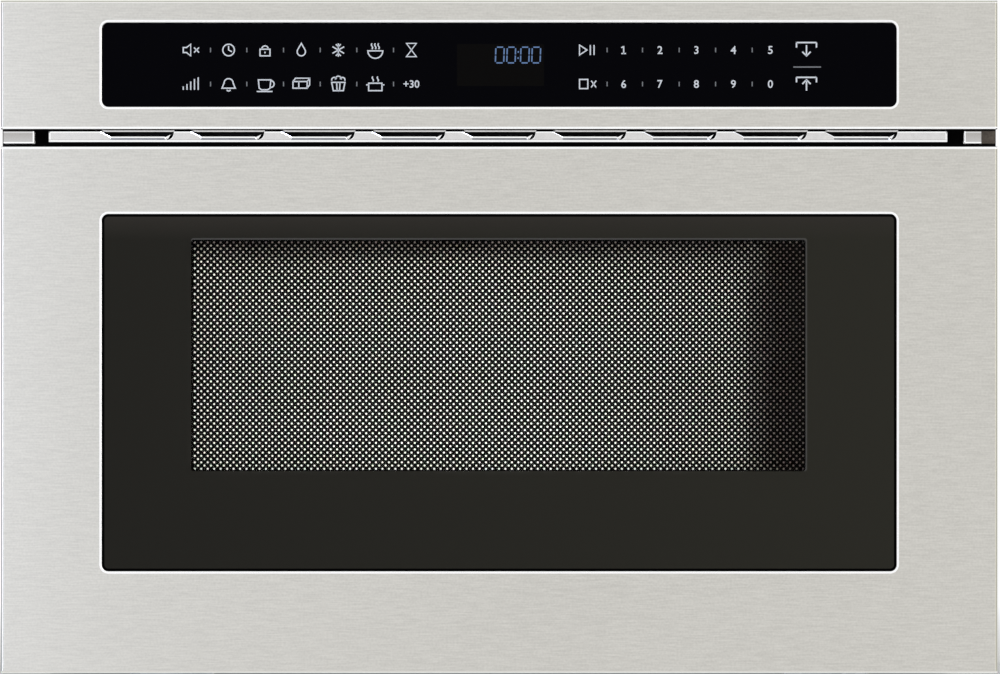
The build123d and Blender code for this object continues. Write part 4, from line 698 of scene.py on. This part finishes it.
def makeScreen():
    # punched sheet: each hole has a diamond cell of its own, and the cells of two offset lattices tile the
    # field
    look, pitch = screenLook, screenLook["pitch"]
    low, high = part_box("window_screen")
    half = pitch / 2
    wide, tall = look["columns"], look["rows"]
    left, bottom = look["middleX"] - (wide - 1) * half, look["middleZ"] - (tall - 1) * half
    right, top = left + (wide - 1) * pitch, bottom + (tall - 1) * pitch
    centres = np.concatenate([
        np.stack(np.meshgrid(left + offset + pitch * np.arange(columns),
                             bottom + offset + pitch * np.arange(rows)), axis=2).reshape(-1, 2)
        for offset, columns, rows in ((0, wide, tall), (half, wide - 1, tall - 1))])
    turns = np.radians(60 * np.arange(6))
    hole = look["holeRadius"] * np.stack([np.cos(turns), np.sin(turns)], axis=1)
    cell = np.concatenate([half * np.array([[1, 0], [0, 1], [-1, 0], [0, -1]]), hole])
    quads = np.array([[0, 1, 5, 4], [1, 2, 7, 6], [2, 3, 8, 7], [3, 0, 4, 9]])
    triangles = np.array([[1, 6, 5], [3, 9, 8]])
    notches = screenNotches(left, right, bottom, top, pitch)

    material = makeFinish("screenBlack")
    for name, onSide in (("windowScreenLeft", np.less), ("windowScreenRight", np.greater_equal)):
        chosen = centres[onSide(centres[:, 0], look["middleX"] - half / 2)]
        filled = notches[onSide(notches[:, :, 0].mean(axis=1), look["middleX"])]
        cells = (chosen[:, None, :] + cell[None]).reshape(-1, 2)
        base = np.arange(len(chosen))[:, None, None] * len(cell)
        loose = len(cells) + np.arange(3 * len(filled)).reshape(-1, 3)
        flat = np.concatenate([cells, filled.reshape(-1, 2)])
        faces = [(base + quads).reshape(-1, 4), np.concatenate([(base + triangles).reshape(-1, 3), loose])]
        screen = makePiece(name, *sheetFrom(flat, faces, low.y, high.y), [material], "drawer", "frame_enamel")
        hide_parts("window_screen")

    # the plain margin: four strips between the field's tips and the edge of the sheet, and a square to fill
    # each corner of the field
    areas = [(low.x, high.x, low.z, bottom - half), (low.x, high.x, top + half, high.z),
             (low.x, left - half, bottom - half, top + half),
             (right + half, high.x, bottom - half, top + half),
             (left - half, left, bottom - half, bottom), (right, right + half, bottom - half, bottom),
             (right, right + half, top, top + half), (left - half, left, top, top + half)]
    strips = [sheetFrom(np.array([[a, c], [b, c], [b, d], [a, d]]), [np.array([[0, 1, 2, 3]])], low.y, high.y)
              for a, b, c, d in areas]
    border = makePiece("windowScreenMargin", *gathered(strips), [material], "drawer", "frame_enamel")
    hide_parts("window_screen")


makeScreen()
print("stage: window screen")


# sheet metal in the gap
def makeBracketFaces():
    # the brackets' own form with a fine bevel, its upper flange a little lower and its lower one too
    look = bracketLook
    low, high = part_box("fascia_brackets")
    form = bmesh.new()
    form.from_mesh(frame["nodes"]["fascia_brackets"].data)
    bmesh.ops.remove_doubles(form, verts=form.verts, dist=look["weld"] * mm)
    bmesh.ops.dissolve_limit(form, angle_limit=math.radians(look["flat"]), verts=form.verts, edges=form.edges)
    sharp = [edge for edge in form.edges if edge.calc_face_angle(0.0) > math.radians(look["sharp"])]
    bmesh.ops.bevel(form, geom=sharp, offset=look["bevel"] * mm, segments=2, profile=0.5, affect="EDGES",
                    clamp_overlap=True)
    mesh = bpy.data.meshes.new("bracketFaces")
    form.to_mesh(mesh)
    form.free()
    places = np.empty(len(mesh.vertices) * 3)
    mesh.vertices.foreach_get("co", places)
    places = places.reshape(-1, 3)
    near = look["nearEdge"] * mm
    places[:, 2] -= np.where(places[:, 2] > high.z - near, look["topDrop"] * mm, 0)
    places[:, 2] -= np.where(places[:, 2] < low.z + near, look["lowDrop"] * mm, 0)
    mesh.vertices.foreach_set("co", places.ravel())
    mesh.materials.append(finishOfNode["fascia_brackets"])
    mesh.update()
    piece = addPiece("bracketFaces", mesh, "cabinet")
    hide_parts("fascia_brackets")


ventLook = {
    # the photo's pixels: louvres from the left, and the rows of their parts
    "count": 9, "pitch": 90.56, "first": 99.9, "left": 48.3, "right": 947.8, "endBand": 1.8,
    "top": 130.85, "slotLow": 135.95, "groove": 139.45, "bottom": 142.3,
    "slope": 10.1, "lipEnd": 64.1, "pocket": 67.1, "wallStart": 73.6,
    "hoodTop": 129.5, "hoodLow": 131.65,
    "edgeTall": 1.85, "step": 0.2,              # the bright upper edge, and the turn under the lip
    "turn": 0.45,                               # the edge's rounding
    # columns on the slope, into the pocket and up the ellipse, whose first is at this angle
    "slopeSteps": 5, "pocketSteps": 3, "wallSteps": 8, "wallTurn": 0.15,
    "nick": 0.02, "near": 0.1, "slopeEnds": 0.5,    # steps beside a slot's ends, and what counts as on them
    "tear": ((64.2, 137.3), (70.4, 134.4), (67.6, 138.7)),      # the lip's end
    "flanges": ((0.05, 0.55), (-0.9, -0.05)),   # rows from the top and from the bottom
    # shares of the slot's room, or of the whole edge on the slope
    "edgeRoom": 0.6, "turnRoom": 0.2, "stepRoom": 0.8, "slopeEdge": 0.65,
    # bead along the lower edge: rows below the groove, and mm in front of the wall
    "bead": ((0.0, 0.0), (0.1, 0.5), (0.3, 0.6), (2.3, 0.6), (2.65, 0.45), (2.85, 0.0)),
    # hood: columns from the louvre's left and its height there, then its section: shares of height and depth
    "hoodColumns": (1.5, 6.0, 72.1, 74.1), "hoodTall": (0.15, 1.0, 1.0, 0.6),
    "hoodShape": ((0, 1.0), (0, -0.5), (0.3, -1.0), (1, -1.0), (1, 1.0)),
    # mm
    "lip": 1.1, "recess": 0.6, "hood": 1.3, "bevel": 0.3, "thickness": 1.3, "frontWall": 1.6, "endBevel": 0.7,
    "tearFront": (-0.7, -0.2), "flangeFront": 0.9,
}


def slotEdge(along):
    # the row of the wall's upper edge at each column: down the left slope, level under the slot, then the
    # pocket and a quarter of an ellipse up to the plain wall
    look = ventLook
    depth = look["groove"] - look["top"]
    part = np.clip((along - look["pocket"]) / (look["wallStart"] - look["pocket"]), 0, 1)
    places = [0, look["slope"], look["lipEnd"], look["pocket"]]
    rows = np.interp(along, places, [look["top"], look["slotLow"], look["slotLow"], look["groove"]])
    return np.where(along > look["pocket"], look["top"] + depth * np.sqrt(1 - part ** 2), rows)


def sweptAlong(columns, rows, depths):
    # a closed profile carried along X: rows and depths hold one ring of points for each column
    count, ring = rows.shape
    points = np.stack([np.repeat(photoX(columns), ring), depths.ravel(), photoZ(rows).ravel()], axis=1)
    base = np.arange(count - 1)[:, None] * ring
    here = np.arange(ring)[None]
    after = (here + 1) % ring
    sides = np.stack([base + here, base + ring + here, base + ring + after, base + after], axis=2)
    ends = [list(range(ring)), [(count - 1) * ring + ring - 1 - i for i in range(ring)]]
    return points, sides.reshape(-1, 4).tolist() + ends


def ventColumns(lefts):
    # where the wall's section changes: at both ends, and at every slot down the slope, along the lip and
    # round the pocket
    look = ventLook
    turn = np.sin(np.linspace(look["wallTurn"], np.pi / 2, look["wallSteps"]))  # closer where it is steep
    local = np.concatenate([
        [-look["nick"], 0], np.linspace(1, look["slope"], look["slopeSteps"]), [look["lipEnd"]],
        np.linspace(look["lipEnd"] + 1, look["pocket"], look["pocketSteps"]),
        look["pocket"] + (look["wallStart"] - look["pocket"]) * turn, [look["wallStart"] + look["nick"]]])
    edge = look["endBevel"] * mm / studio["pixel"]
    return np.concatenate([[look["left"], look["left"] + edge, look["left"] + look["endBand"]],
                           (lefts[:, None] + local[None]).ravel(),
                           [look["right"] - look["endBand"], look["right"] - edge, look["right"]]])


def ventWall(front):
    # the wall with its slots: every ring runs from the back over the upper edge, down the face and round the
    # bead
    look = ventLook
    lefts = look["first"] + look["pitch"] * np.arange(look["count"])
    columns = ventColumns(lefts)
    level = np.zeros(len(columns))              # spreads one value over all the columns
    along = (columns - look["first"]) % look["pitch"]
    inside = (columns > look["first"] - look["near"]) & (columns < lefts[-1] + look["pitch"])
    along = np.where(inside, along, look["pitch"])
    along = np.where(along > look["pitch"] - look["near"], 0, along)
    top = np.where(inside, slotEdge(along), look["top"])
    bulge = np.interp(along, [0, look["slope"], look["lipEnd"], look["pocket"]], [0, 1, 1, 0])
    bulge = np.where(inside, bulge, 0)
    forward = front - look["lip"] * mm * bulge
    under = front + look["recess"] * mm * bulge
    back = level + front + look["thickness"] * mm
    atEnd = (columns < look["left"] + look["near"]) | (columns > look["right"] - look["near"])
    retreat = np.where(atEnd, look["endBevel"] * mm, 0)
    room = look["groove"] - top
    sloping = inside & (along > look["slopeEnds"]) & (along < look["slope"] - look["slopeEnds"])
    tall = np.minimum(look["edgeTall"] * np.where(sloping, look["slopeEdge"], 1.0), room * look["edgeRoom"])
    ring = [(top, back), (top, forward + look["bevel"] * mm),
            (top + np.minimum(look["turn"], room * look["turnRoom"]), forward), (top + tall, forward),
            (top + np.minimum(tall + look["step"], room * look["stepRoom"]), under)]
    beadStart = len(ring)
    for down, out in look["bead"]:
        face = under if down == 0 else level + front                    # it starts from the recessed wall
        ring.append((level + look["groove"] + down, face - out * mm))
    ring.append((level + look["bottom"], back))
    rows = np.stack([pair[0] for pair in ring], axis=1)
    depths = np.minimum(np.stack([pair[1] + retreat for pair in ring], axis=1), back[:, None])
    # 1 is the painted highlight, on the upper edge, the bead and both ends, and 2 the painted shade on the
    # face under the lips
    which = np.zeros((len(columns) - 1, len(ring)), int)
    which[:, [1, 2]] = 1
    which[:, beadStart:beadStart + len(look["bead"]) - 1] = 1
    which[[0, 1, -2, -1]] = 1
    lipped = (bulge[:-1] > 0.5) & (bulge[1:] > 0.5) & ~sloping[:-1]
    which[np.ix_(lipped, [3, 4])] = 2
    return sweptAlong(columns, rows, depths), np.concatenate([which.ravel(), [1, 1]])


def makeVentStrip():
    # closed forms: the wall with its slots, the hoods over them, and the flanges above and below, each with
    # the place of its material among the three
    look = ventLook
    low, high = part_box("vent_louver")
    front = low.y + look["frontWall"] * mm
    parts = [ventWall(front)]
    tall, section = np.array(look["hoodTall"])[:, None], np.array(look["hoodShape"])
    tear = np.array(look["tear"])
    for left in look["first"] + look["pitch"] * np.arange(look["count"]):
        rows = look["hoodTop"] + (look["hoodLow"] - look["hoodTop"]) * tall * section[:, 0]
        depths = np.broadcast_to(front + look["hood"] * mm * section[:, 1], rows.shape)
        parts.append((sweptAlong(left + np.array(look["hoodColumns"]), rows, depths), 0))
        # the lip's end, torn up a little into the pocket
        flat = np.stack([photoX(left + tear[:, 0]), photoZ(tear[:, 1])], axis=1)
        reach = [front + out * mm for out in look["tearFront"]]
        parts.append((sheetFrom(flat, [np.array([[0, 2, 1]])], *reach), 1))
    inset = look["endBevel"] * mm / studio["pixel"]
    ends = np.array([look["left"] + inset, look["right"] - inset])
    near = front + look["flangeFront"] * mm
    for edge, (upper, lower) in zip((look["top"], look["bottom"]), look["flanges"]):
        rows = edge + np.array([[upper, lower, lower, upper]] * 2)
        parts.append((sweptAlong(ends, rows, np.array([[high.y, high.y, near, near]] * 2)), 0))
    which = np.concatenate([np.broadcast_to(index, len(shape[1])) for shape, index in parts])
    # the strip's paint, white edges as painted highlight, and the face under the lips as painted shade
    materials = [finishOfSlot["vent_strip"], paintedHighlight, makeFinish("underLipShade")]
    strip = makePiece("ventStrip", *gathered([shape for shape, index in parts]), materials, "cabinet",
                      "vent_strip", which)
    turnOutwards(strip.data)
    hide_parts("vent_louver")


# sections in mm: distance from the edge into the sheet, and depth behind its face
edgeLook = {
    "rim": ((0.02, 1.0), (0.02, 0.35), (0.1, 0.17), (0.3, 0.06), (0.6, 0.01), (1.1, 0.0), (1.1, 0.3)),
    "fold": ((0.02, 1.2), (0.02, 0.3), (0.1, 0.14), (0.3, 0.05), (0.6, 0.01), (1.3, 0.0), (1.3, 0.3)),
    "gap": 0.15, "radius": 4.0, "cornerSteps": 7, "endInset": 1.0,
    "start": (0.42, 0.16),         # of the fold's section: the fascia's lower edge, the drawer front's upper
}


def rimRound(pane, front):
    # the section carried round a rounded rectangle: four quarter circles joined by the straight sides
    look = edgeLook
    low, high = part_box(pane)
    gap, radius = look["gap"] * mm, look["radius"] * mm
    turns = np.radians(np.arange(4)[:, None] * 90 + np.linspace(0, 90, look["cornerSteps"])[None])
    outward = np.stack([np.cos(turns), np.sin(turns)], axis=2)
    x = np.array([high.x, low.x, low.x, high.x]) + (gap - radius) * np.array([1, -1, -1, 1])
    z = np.array([high.z, high.z, low.z, low.z]) + (gap - radius) * np.array([1, 1, -1, -1])
    centres = np.stack([x, z], axis=1)[:, None, :]
    section = np.array(look["rim"]) * mm
    flat = (centres + outward * radius).reshape(-1, 1, 2) + outward.reshape(-1, 1, 2) * section[None, :, :1]
    count, ring = len(flat), len(section)
    points = np.empty((count, ring, 3))
    points[:, :, [0, 2]] = flat
    points[:, :, 1] = front + section[:, 1]
    here, turn = np.arange(count)[:, None] * ring, np.arange(ring)[None]
    after, onward = (here + ring) % (count * ring), (turn + 1) % ring
    faces = np.stack([here + turn, after + turn, after + onward, here + onward], axis=2).reshape(-1, 4)
    return points.reshape(-1, 3), faces.tolist()


def foldAlong(node, upper, front):
    # the section carried along the edge of a front beside the gap
    look = edgeLook
    low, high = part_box(node)
    section = np.array(look["fold"]) * mm
    section[:2, 0] += look["start"][upper] * mm
    height = high.z - section[:, 0] if upper else low.z + section[:, 0]
    rows = studio["bottomPixel"] - (height - studio["bottom"]) / studio["pixel"]
    ends = np.array([low.x + look["endInset"] * mm, high.x - look["endInset"] * mm])
    columns = ends / studio["pixel"] + studio["leftPixel"]
    return sweptAlong(columns, np.stack([rows] * 2), np.stack([front + section[:, 1]] * 2))


def makeEdges():
    # edges round both panes and along the gap, white as a painted highlight
    for name, node, pane, upper, body in (
            ("fasciaEdges", "control_fascia", "touch_glass", False, "cabinet"),
            ("drawerFrontEdges", "drawer_front_panel", "door_glass", True, "drawer")):
        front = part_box(node)[0].y
        piece = makePiece(name, *gathered([rimRound(pane, front), foldAlong(node, upper, front)]), [paintedHighlight],
                          body, "stainless")
        turnOutwards(piece.data)


runnerLook = {
    # mm: middle of each base runner, its half widths at the foot and at the plate, and its height
    "middle": 200, "low": 24, "high": 32, "tall": 11,
    # the pressed end inside the outline, behind the edge, and its wall
    "inset": 0.5, "back": 0.6, "sheet": 0.8,
}


def makeRunnerEnds():
    # the pressed ends that close both base runners: a trapezoid each, with a thickness
    look = runnerLook
    side, tall = look["inset"], look["tall"] - look["inset"]
    outline = np.array([[side - look["low"], side], [look["low"] - side, side],
                        [look["high"] - 2 * side, tall], [2 * side - look["high"], tall]])
    flat = np.concatenate([outline - [look["middle"], 0], outline + [look["middle"], 0]]) * mm
    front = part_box("base_pan")[0].y + look["back"] * mm
    corners = [np.array([[0, 1, 2, 3], [4, 5, 6, 7]])]
    points, faces = sheetFrom(flat, corners, front, front + look["sheet"] * mm)
    makePiece("runnerEnds", points, faces, [finishOfSlot["galvanised"]], "cabinet", "galvanised")


makeVentStrip()
makeBracketFaces()
makeEdges()
makeRunnerEnds()
print("stage: gap and edges")


# printed legends
def stroke(points, width, closed=False):
    # a line of given width: every point is doubled to both sides along the mean of its two edge normals
    points = np.asarray(points, float)
    if closed:
        before, after = points - np.roll(points, 1, axis=0), np.roll(points, -1, axis=0) - points
    else:
        edges = np.diff(points, axis=0)
        before, after = np.vstack([edges[:1], edges]), np.vstack([edges, edges[-1:]])
    unit = [e / np.maximum(np.linalg.norm(e, axis=1, keepdims=True), 1e-12) for e in (before, after)]
    normals = [np.stack([-u[:, 1], u[:, 0]], axis=1) for u in unit]
    mitre = normals[0] + normals[1]
    mitre /= np.maximum((mitre * normals[0]).sum(axis=1, keepdims=True), 0.5)       # cut short at sharp bends
    flat = np.concatenate([points + mitre * width / 2, points - mitre * width / 2])
    count = len(points)
    start = np.arange(count if closed else count - 1)
    after = (start + 1) % count
    return flat, [np.stack([start, start + count, after + count, after], axis=1)]


def arc(x, z, radius, start, end, steps=14):
    # points on a circle from one angle in degrees to another
    turn = np.radians(np.linspace(start, end, steps))
    return np.stack([x + radius * np.cos(turn), z + radius * np.sin(turn)], axis=1)


def wave(x, low, high):
    # a rising wisp of steam: a sine of 0.8 units beside its own upright line
    up = np.linspace(low, high, 9)
    return np.stack([x + 0.8 * np.sin((up - low) / (high - low) * 2 * np.pi), up], axis=1)


# pictograms in units of a sixteenth of their height, each a list of open or closed lines
icons = {
    "mute": [([(-9, -3), (-5, -3), (0, -7), (0, 7), (-5, 3), (-9, 3)], True), ([(4, -3), (10, 3)], False),
             ([(4, 3), (10, -3)], False)],
    "clock": [(arc(0, 0, 7, 0, 345, 24), True), ([(0, 5), (0, 0), (4, -2)], False)],
    "lock": [([(-6, -7), (6, -7), (6, 1), (-6, 1)], True), (arc(0, 1, 4, 0, 180), False),
             ([(0, -4), (0, -2)], False)],
    "melt": [(np.vstack([arc(0, -2, 5, 150, 390, 18), [(0, 8)]]), True)],
    "frost": [([(0, -8), (0, 8)], False), ([(-7, -4), (7, 4)], False), ([(-7, 4), (7, -4)], False),
              ([(-3, 7), (0, 4), (3, 7)], False), ([(-3, -7), (0, -4), (3, -7)], False)],
    "reheat": [(arc(0, -1, 9, 180, 360), True), (wave(-4, 1, 8), False), (wave(0, 1, 8), False),
               (wave(4, 1, 8), False)],
    "timeCook": [([(-6, 8), (6, 8), (-6, -8), (6, -8)], True)],
    "power": [([(-9, -7), (-9, -3)], False), ([(-4.5, -7), (-4.5, 0)], False), ([(0, -7), (0, 3)], False),
              ([(4.5, -7), (4.5, 6)], False), ([(9, -7), (9, 8)], False)],
    "bell": [(np.vstack([[(-8, -5)], arc(0, 1, 5.5, 180, 0), [(8, -5)]]), True),
             (arc(0, -6, 2.4, 200, 340, 7), False)],
    "cup": [([(-8, 5), (-7, -5), (-4, -7), (3, -7), (6, -5), (7, 5)], True),
            (arc(7, 0, 4, 80, -100, 9), False), ([(-10, -9), (9, -9)], False)],
    "soften": [([(-10, -5), (7, -5), (7, 3), (-10, 3)], True), ([(-10, 3), (-7, 7), (10, 7), (7, 3)], False),
               ([(10, 7), (10, -1), (7, -5)], False), ([(-3, -5), (-3, 3)], False)],
    "popcorn": [([(-6, -8), (6, -8), (8, 2), (-8, 2)], True), (arc(-5, 5, 3, 200, 20, 9), False),
                (arc(0, 6, 3.5, 190, -10, 9), False), (arc(5, 5, 3, 160, -20, 9), False),
                ([(-2, 2), (-1.5, -8)], False), ([(2, 2), (1.5, -8)], False)],
    "pot": [([(-8, 1), (-8, -8), (8, -8), (8, 1)], True), ([(-11, -1), (-8, -1)], False),
            ([(8, -1), (11, -1)], False), (wave(-3, 3, 9), False), (wave(3, 3, 9), False)],
    "one": [([(0, 8), (0, -8)], False), ([(-4.6, 4.6), (-0.4, 7.2)], False),
            ([(-4.6, -7), (4.6, -7)], False)],
    "start": [([(-9, -6), (0, 0), (-9, 6)], True), ([(4, -6), (4, 6)], False),
              ([(8.5, -6), (8.5, 6)], False)],
    "stop": [([(-9, -5.5), (1, -5.5), (1, 5.5), (-9, 5.5)], True), ([(5, -4), (11, 4)], False),
             ([(5, 4), (11, -4)], False)],
    "open": [([(-12, 8), (12, 8)], False), ([(0, 5), (0, -8)], False), ([(-5, -3), (0, -8), (5, -3)], False),
             ([(-12, 8), (-12, 2)], False), ([(12, 8), (12, 2)], False)],
    "close": [([(-12, 8), (12, 8)], False), ([(0, -8), (0, 5)], False), ([(-5, 0), (0, 5), (5, 0)], False),
              ([(-12, 8), (-12, 2)], False), ([(12, 8), (12, 2)], False)],
}

legendLook = {
    # in the photo's pixels, as all the rest: columns and rows of the keys
    "columns": (190.7, 228.6, 265.0, 301.3, 338.3, 375.3, 411.4), "rows": (50.0, 84.0),
    "upper": ("mute", "clock", "lock", "melt", "frost", "reheat", "timeCook"),
    "lower": ("power", "bell", "cup", "soften", "popcorn", "pot", None),
    "ticks": (210.5, 246.8, 283.5, 320.2, 356.8, 393.5, 607.1, 642.5, 679.2, 715.6, 752.2),
    "figures": ("12345", "67890"), "digitColumns": (623.7, 660.0, 696.4, 733.4, 770.4),
    "startColumn": 587.0, "openColumn": 806.5, "openRise": 0.8,
    "iconHeight": 13.3, "digitHeight": 8.0, "plusHeight": 7.6, "tickHeight": 4.6, "tickWidth": 1.1,
    "line": 1.25, "boldLine": 1.5,
    "bar": (793.3, 821.0, 67.0, 1.25),      # left, right, row and thickness of the short line
    "curveSteps": 3, "bolder": 0.012,       # of the figures: steps in a curve, and how far they are swollen
}
# mm: front and back of the ink, from the glass
inkDepths = [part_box("touch_glass")[0].y - lift * mm for lift in (0.03, 0.005)]


def iconAt(name, column, row, height=legendLook["iconHeight"], line=legendLook["line"]):
    middle, unit = np.array([photoX(column), photoZ(row)]), height / 16 * studio["pixel"]
    return [stroke(np.asarray(points, float) * unit + middle, line * studio["pixel"], closed)
            for points, closed in icons[name]]


def barAt(left, right, low, high):
    corners = np.array([[left, high], [right, high], [right, low], [left, low]])
    return np.stack([photoX(corners[:, 0]), photoZ(corners[:, 1])], axis=1), [np.array([[0, 1, 2, 3]])]


def lettersAt(text, column, row, height):
    # figures of the built-in face as a flat mesh, scaled to a cap height and centred on a place
    curve = bpy.data.curves.new("figures", "FONT")
    curve.body = text
    curve.resolution_u = legendLook["curveSteps"]
    curve.fill_mode = "FRONT"
    curve.offset = legendLook["bolder"]
    holder = bpy.data.objects.new("figures", curve)
    mesh = bpy.data.meshes.new_from_object(holder)
    flat = np.empty(len(mesh.vertices) * 3)
    mesh.vertices.foreach_get("co", flat)
    flat = flat.reshape(-1, 3)[:, :2]
    low, high = flat.min(axis=0), flat.max(axis=0)
    flat = (flat - (low + high) / 2) * height * studio["pixel"] / (high[1] - low[1])
    flat += np.array([photoX(column), photoZ(row)])
    groups = {}
    for face in mesh.polygons:
        groups.setdefault(len(face.vertices), []).append(list(face.vertices))
    arrays = [np.array(group) for group in groups.values()]
    for i, group in enumerate(arrays):                     # all faces the same way round
        a, b, c = flat[group[:, 0]], flat[group[:, 1]], flat[group[:, 2]]
        turned = (b[:, 0] - a[:, 0]) * (c[:, 1] - a[:, 1]) - (b[:, 1] - a[:, 1]) * (c[:, 0] - a[:, 0]) < 0
        arrays[i] = np.where(turned[:, None], group[:, ::-1], group)
    bpy.data.objects.remove(holder)
    bpy.data.curves.remove(curve)
    bpy.data.meshes.remove(mesh)
    return flat, arrays


def printOnGlass(name, parts, ink):
    points, faces = sheetFrom(*gathered(parts), *inkDepths)
    makePiece(name, points, faces, [makeInk(ink)], "cabinet", "black_glass")


def makeLegends():
    look = legendLook
    parts = []
    for row, names in zip(look["rows"], (look["upper"], look["lower"])):
        for column, name in zip(look["columns"], names):
            if name:
                parts += iconAt(name, column, row)
    upper, lower = look["rows"]
    parts.append(lettersAt("+30", look["columns"][-1], lower, look["plusHeight"]))
    parts += iconAt("start", look["startColumn"], upper) + iconAt("stop", look["startColumn"], lower)
    for name, row in (("open", upper - look["openRise"]), ("close", lower)):
        parts += iconAt(name, look["openColumn"], row, line=look["boldLine"])
    for row, figures in zip(look["rows"], look["figures"]):
        for column, figure in zip(look["digitColumns"], figures):
            if figure == "1":                       # drawn with a flag and a foot, as on the real panel
                parts += iconAt("one", column, row, look["digitHeight"])
            else:
                parts.append(lettersAt(figure, column, row, look["digitHeight"]))
    printOnGlass("keyLegends", parts, "legendInk")

    wide, tall = look["tickWidth"] / 2, look["tickHeight"] / 2
    ticks = [barAt(x - wide, x + wide, row - tall, row + tall) for x in look["ticks"] for row in look["rows"]]
    left, right, row, thick = look["bar"]
    ticks.append(barAt(left, right, row - thick / 2, row + thick / 2))
    printOnGlass("keyTicks", ticks, "tickInk")


displayLook = {
    # in the photo's pixels, as all the rest
    "top": 47.15, "bottom": 62.85, "digitWidth": 8.35, "line": 1.3, "gap": 0.45, "slant": 0.035,
    "digitLefts": (495.35, 506.75, 520.45, 531.75),
    "colon": 517.9, "colonRise": 3.1, "colonHalf": 0.8,     # each dot from the middle, and half its height
}


def makeDisplay():
    # six straight segments round each nought, with short gaps where they meet, leaning to the right
    look = displayLook
    low, high = look["bottom"], look["top"]
    middle = (low + high) / 2
    bend = look["gap"] + look["line"] / 2
    lines = []
    for left in look["digitLefts"]:
        right = left + look["digitWidth"]
        lines += [((left + bend, row), (right - bend, row)) for row in (high, low)]
        lines += [((x, end - side * bend), (x, middle + side * bend / 2))
                  for x in (left, right) for end, side in ((low, 1), (high, -1))]
    lines += [((look["colon"], row - look["colonHalf"]), (look["colon"], row + look["colonHalf"]))
              for row in (middle - look["colonRise"], middle + look["colonRise"])]
    lines = np.array(lines)
    columns = lines[:, :, 0] + (low - lines[:, :, 1]) * look["slant"]
    flat = np.stack([photoX(columns), photoZ(lines[:, :, 1])], axis=2)
    strokes = [stroke(line, look["line"] * studio["pixel"]) for line in flat]
    printOnGlass("displayDigits", strokes, "litSegments")


makeLegends()
makeDisplay()
print("stage: legends and display")


# light inside the drawer
ovenLook = {
    "wallLight": 5.45,                  # watts per square metre on the back wall, which then shows white
    "gap": 60 * mm, "spread": 7,        # from the lamps to the wall, and how far they fan out, in degrees
    "left": photoX(155), "low": 108 * mm, "colour": "FFFDF8",       # the left and low edges of them all
    # right and top edges in the photo's pixels and each lamp's share: the glow dies away over the last holes
    "steps": ((746, 260, 0.76), (764, 247, 0.21), (778, 243, 0.01), (791, 241, 0.004)),
}


def makeOvenLight():
    # the oven lamp's light on the back wall of the drawer, seen through the screen
    look = ovenLook
    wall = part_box("drawer_back")[0].y
    further = 1 + (wall - frontY) / studio["distance"]      # what the camera sees there is this much wider
    eye = (photoX(studio["photoWidth"] / 2), photoZ(studio["photoHeight"] / 2))
    for step, (column, row, share) in enumerate(look["steps"]):
        right = eye[0] + (photoX(column) - eye[0]) * further
        top = eye[1] + (photoZ(row) - eye[1]) * further
        size = (right - look["left"], top - look["low"])
        place = ((right + look["left"]) / 2, wall - look["gap"], (top + look["low"]) / 2)
        areaLight("ovenGlow%d" % step, place, (place[0], wall, place[2]), size,
                  look["wallLight"] * share * size[0] * size[1], look["colour"], math.radians(look["spread"]))


makeOvenLight()
print("stage: oven light")
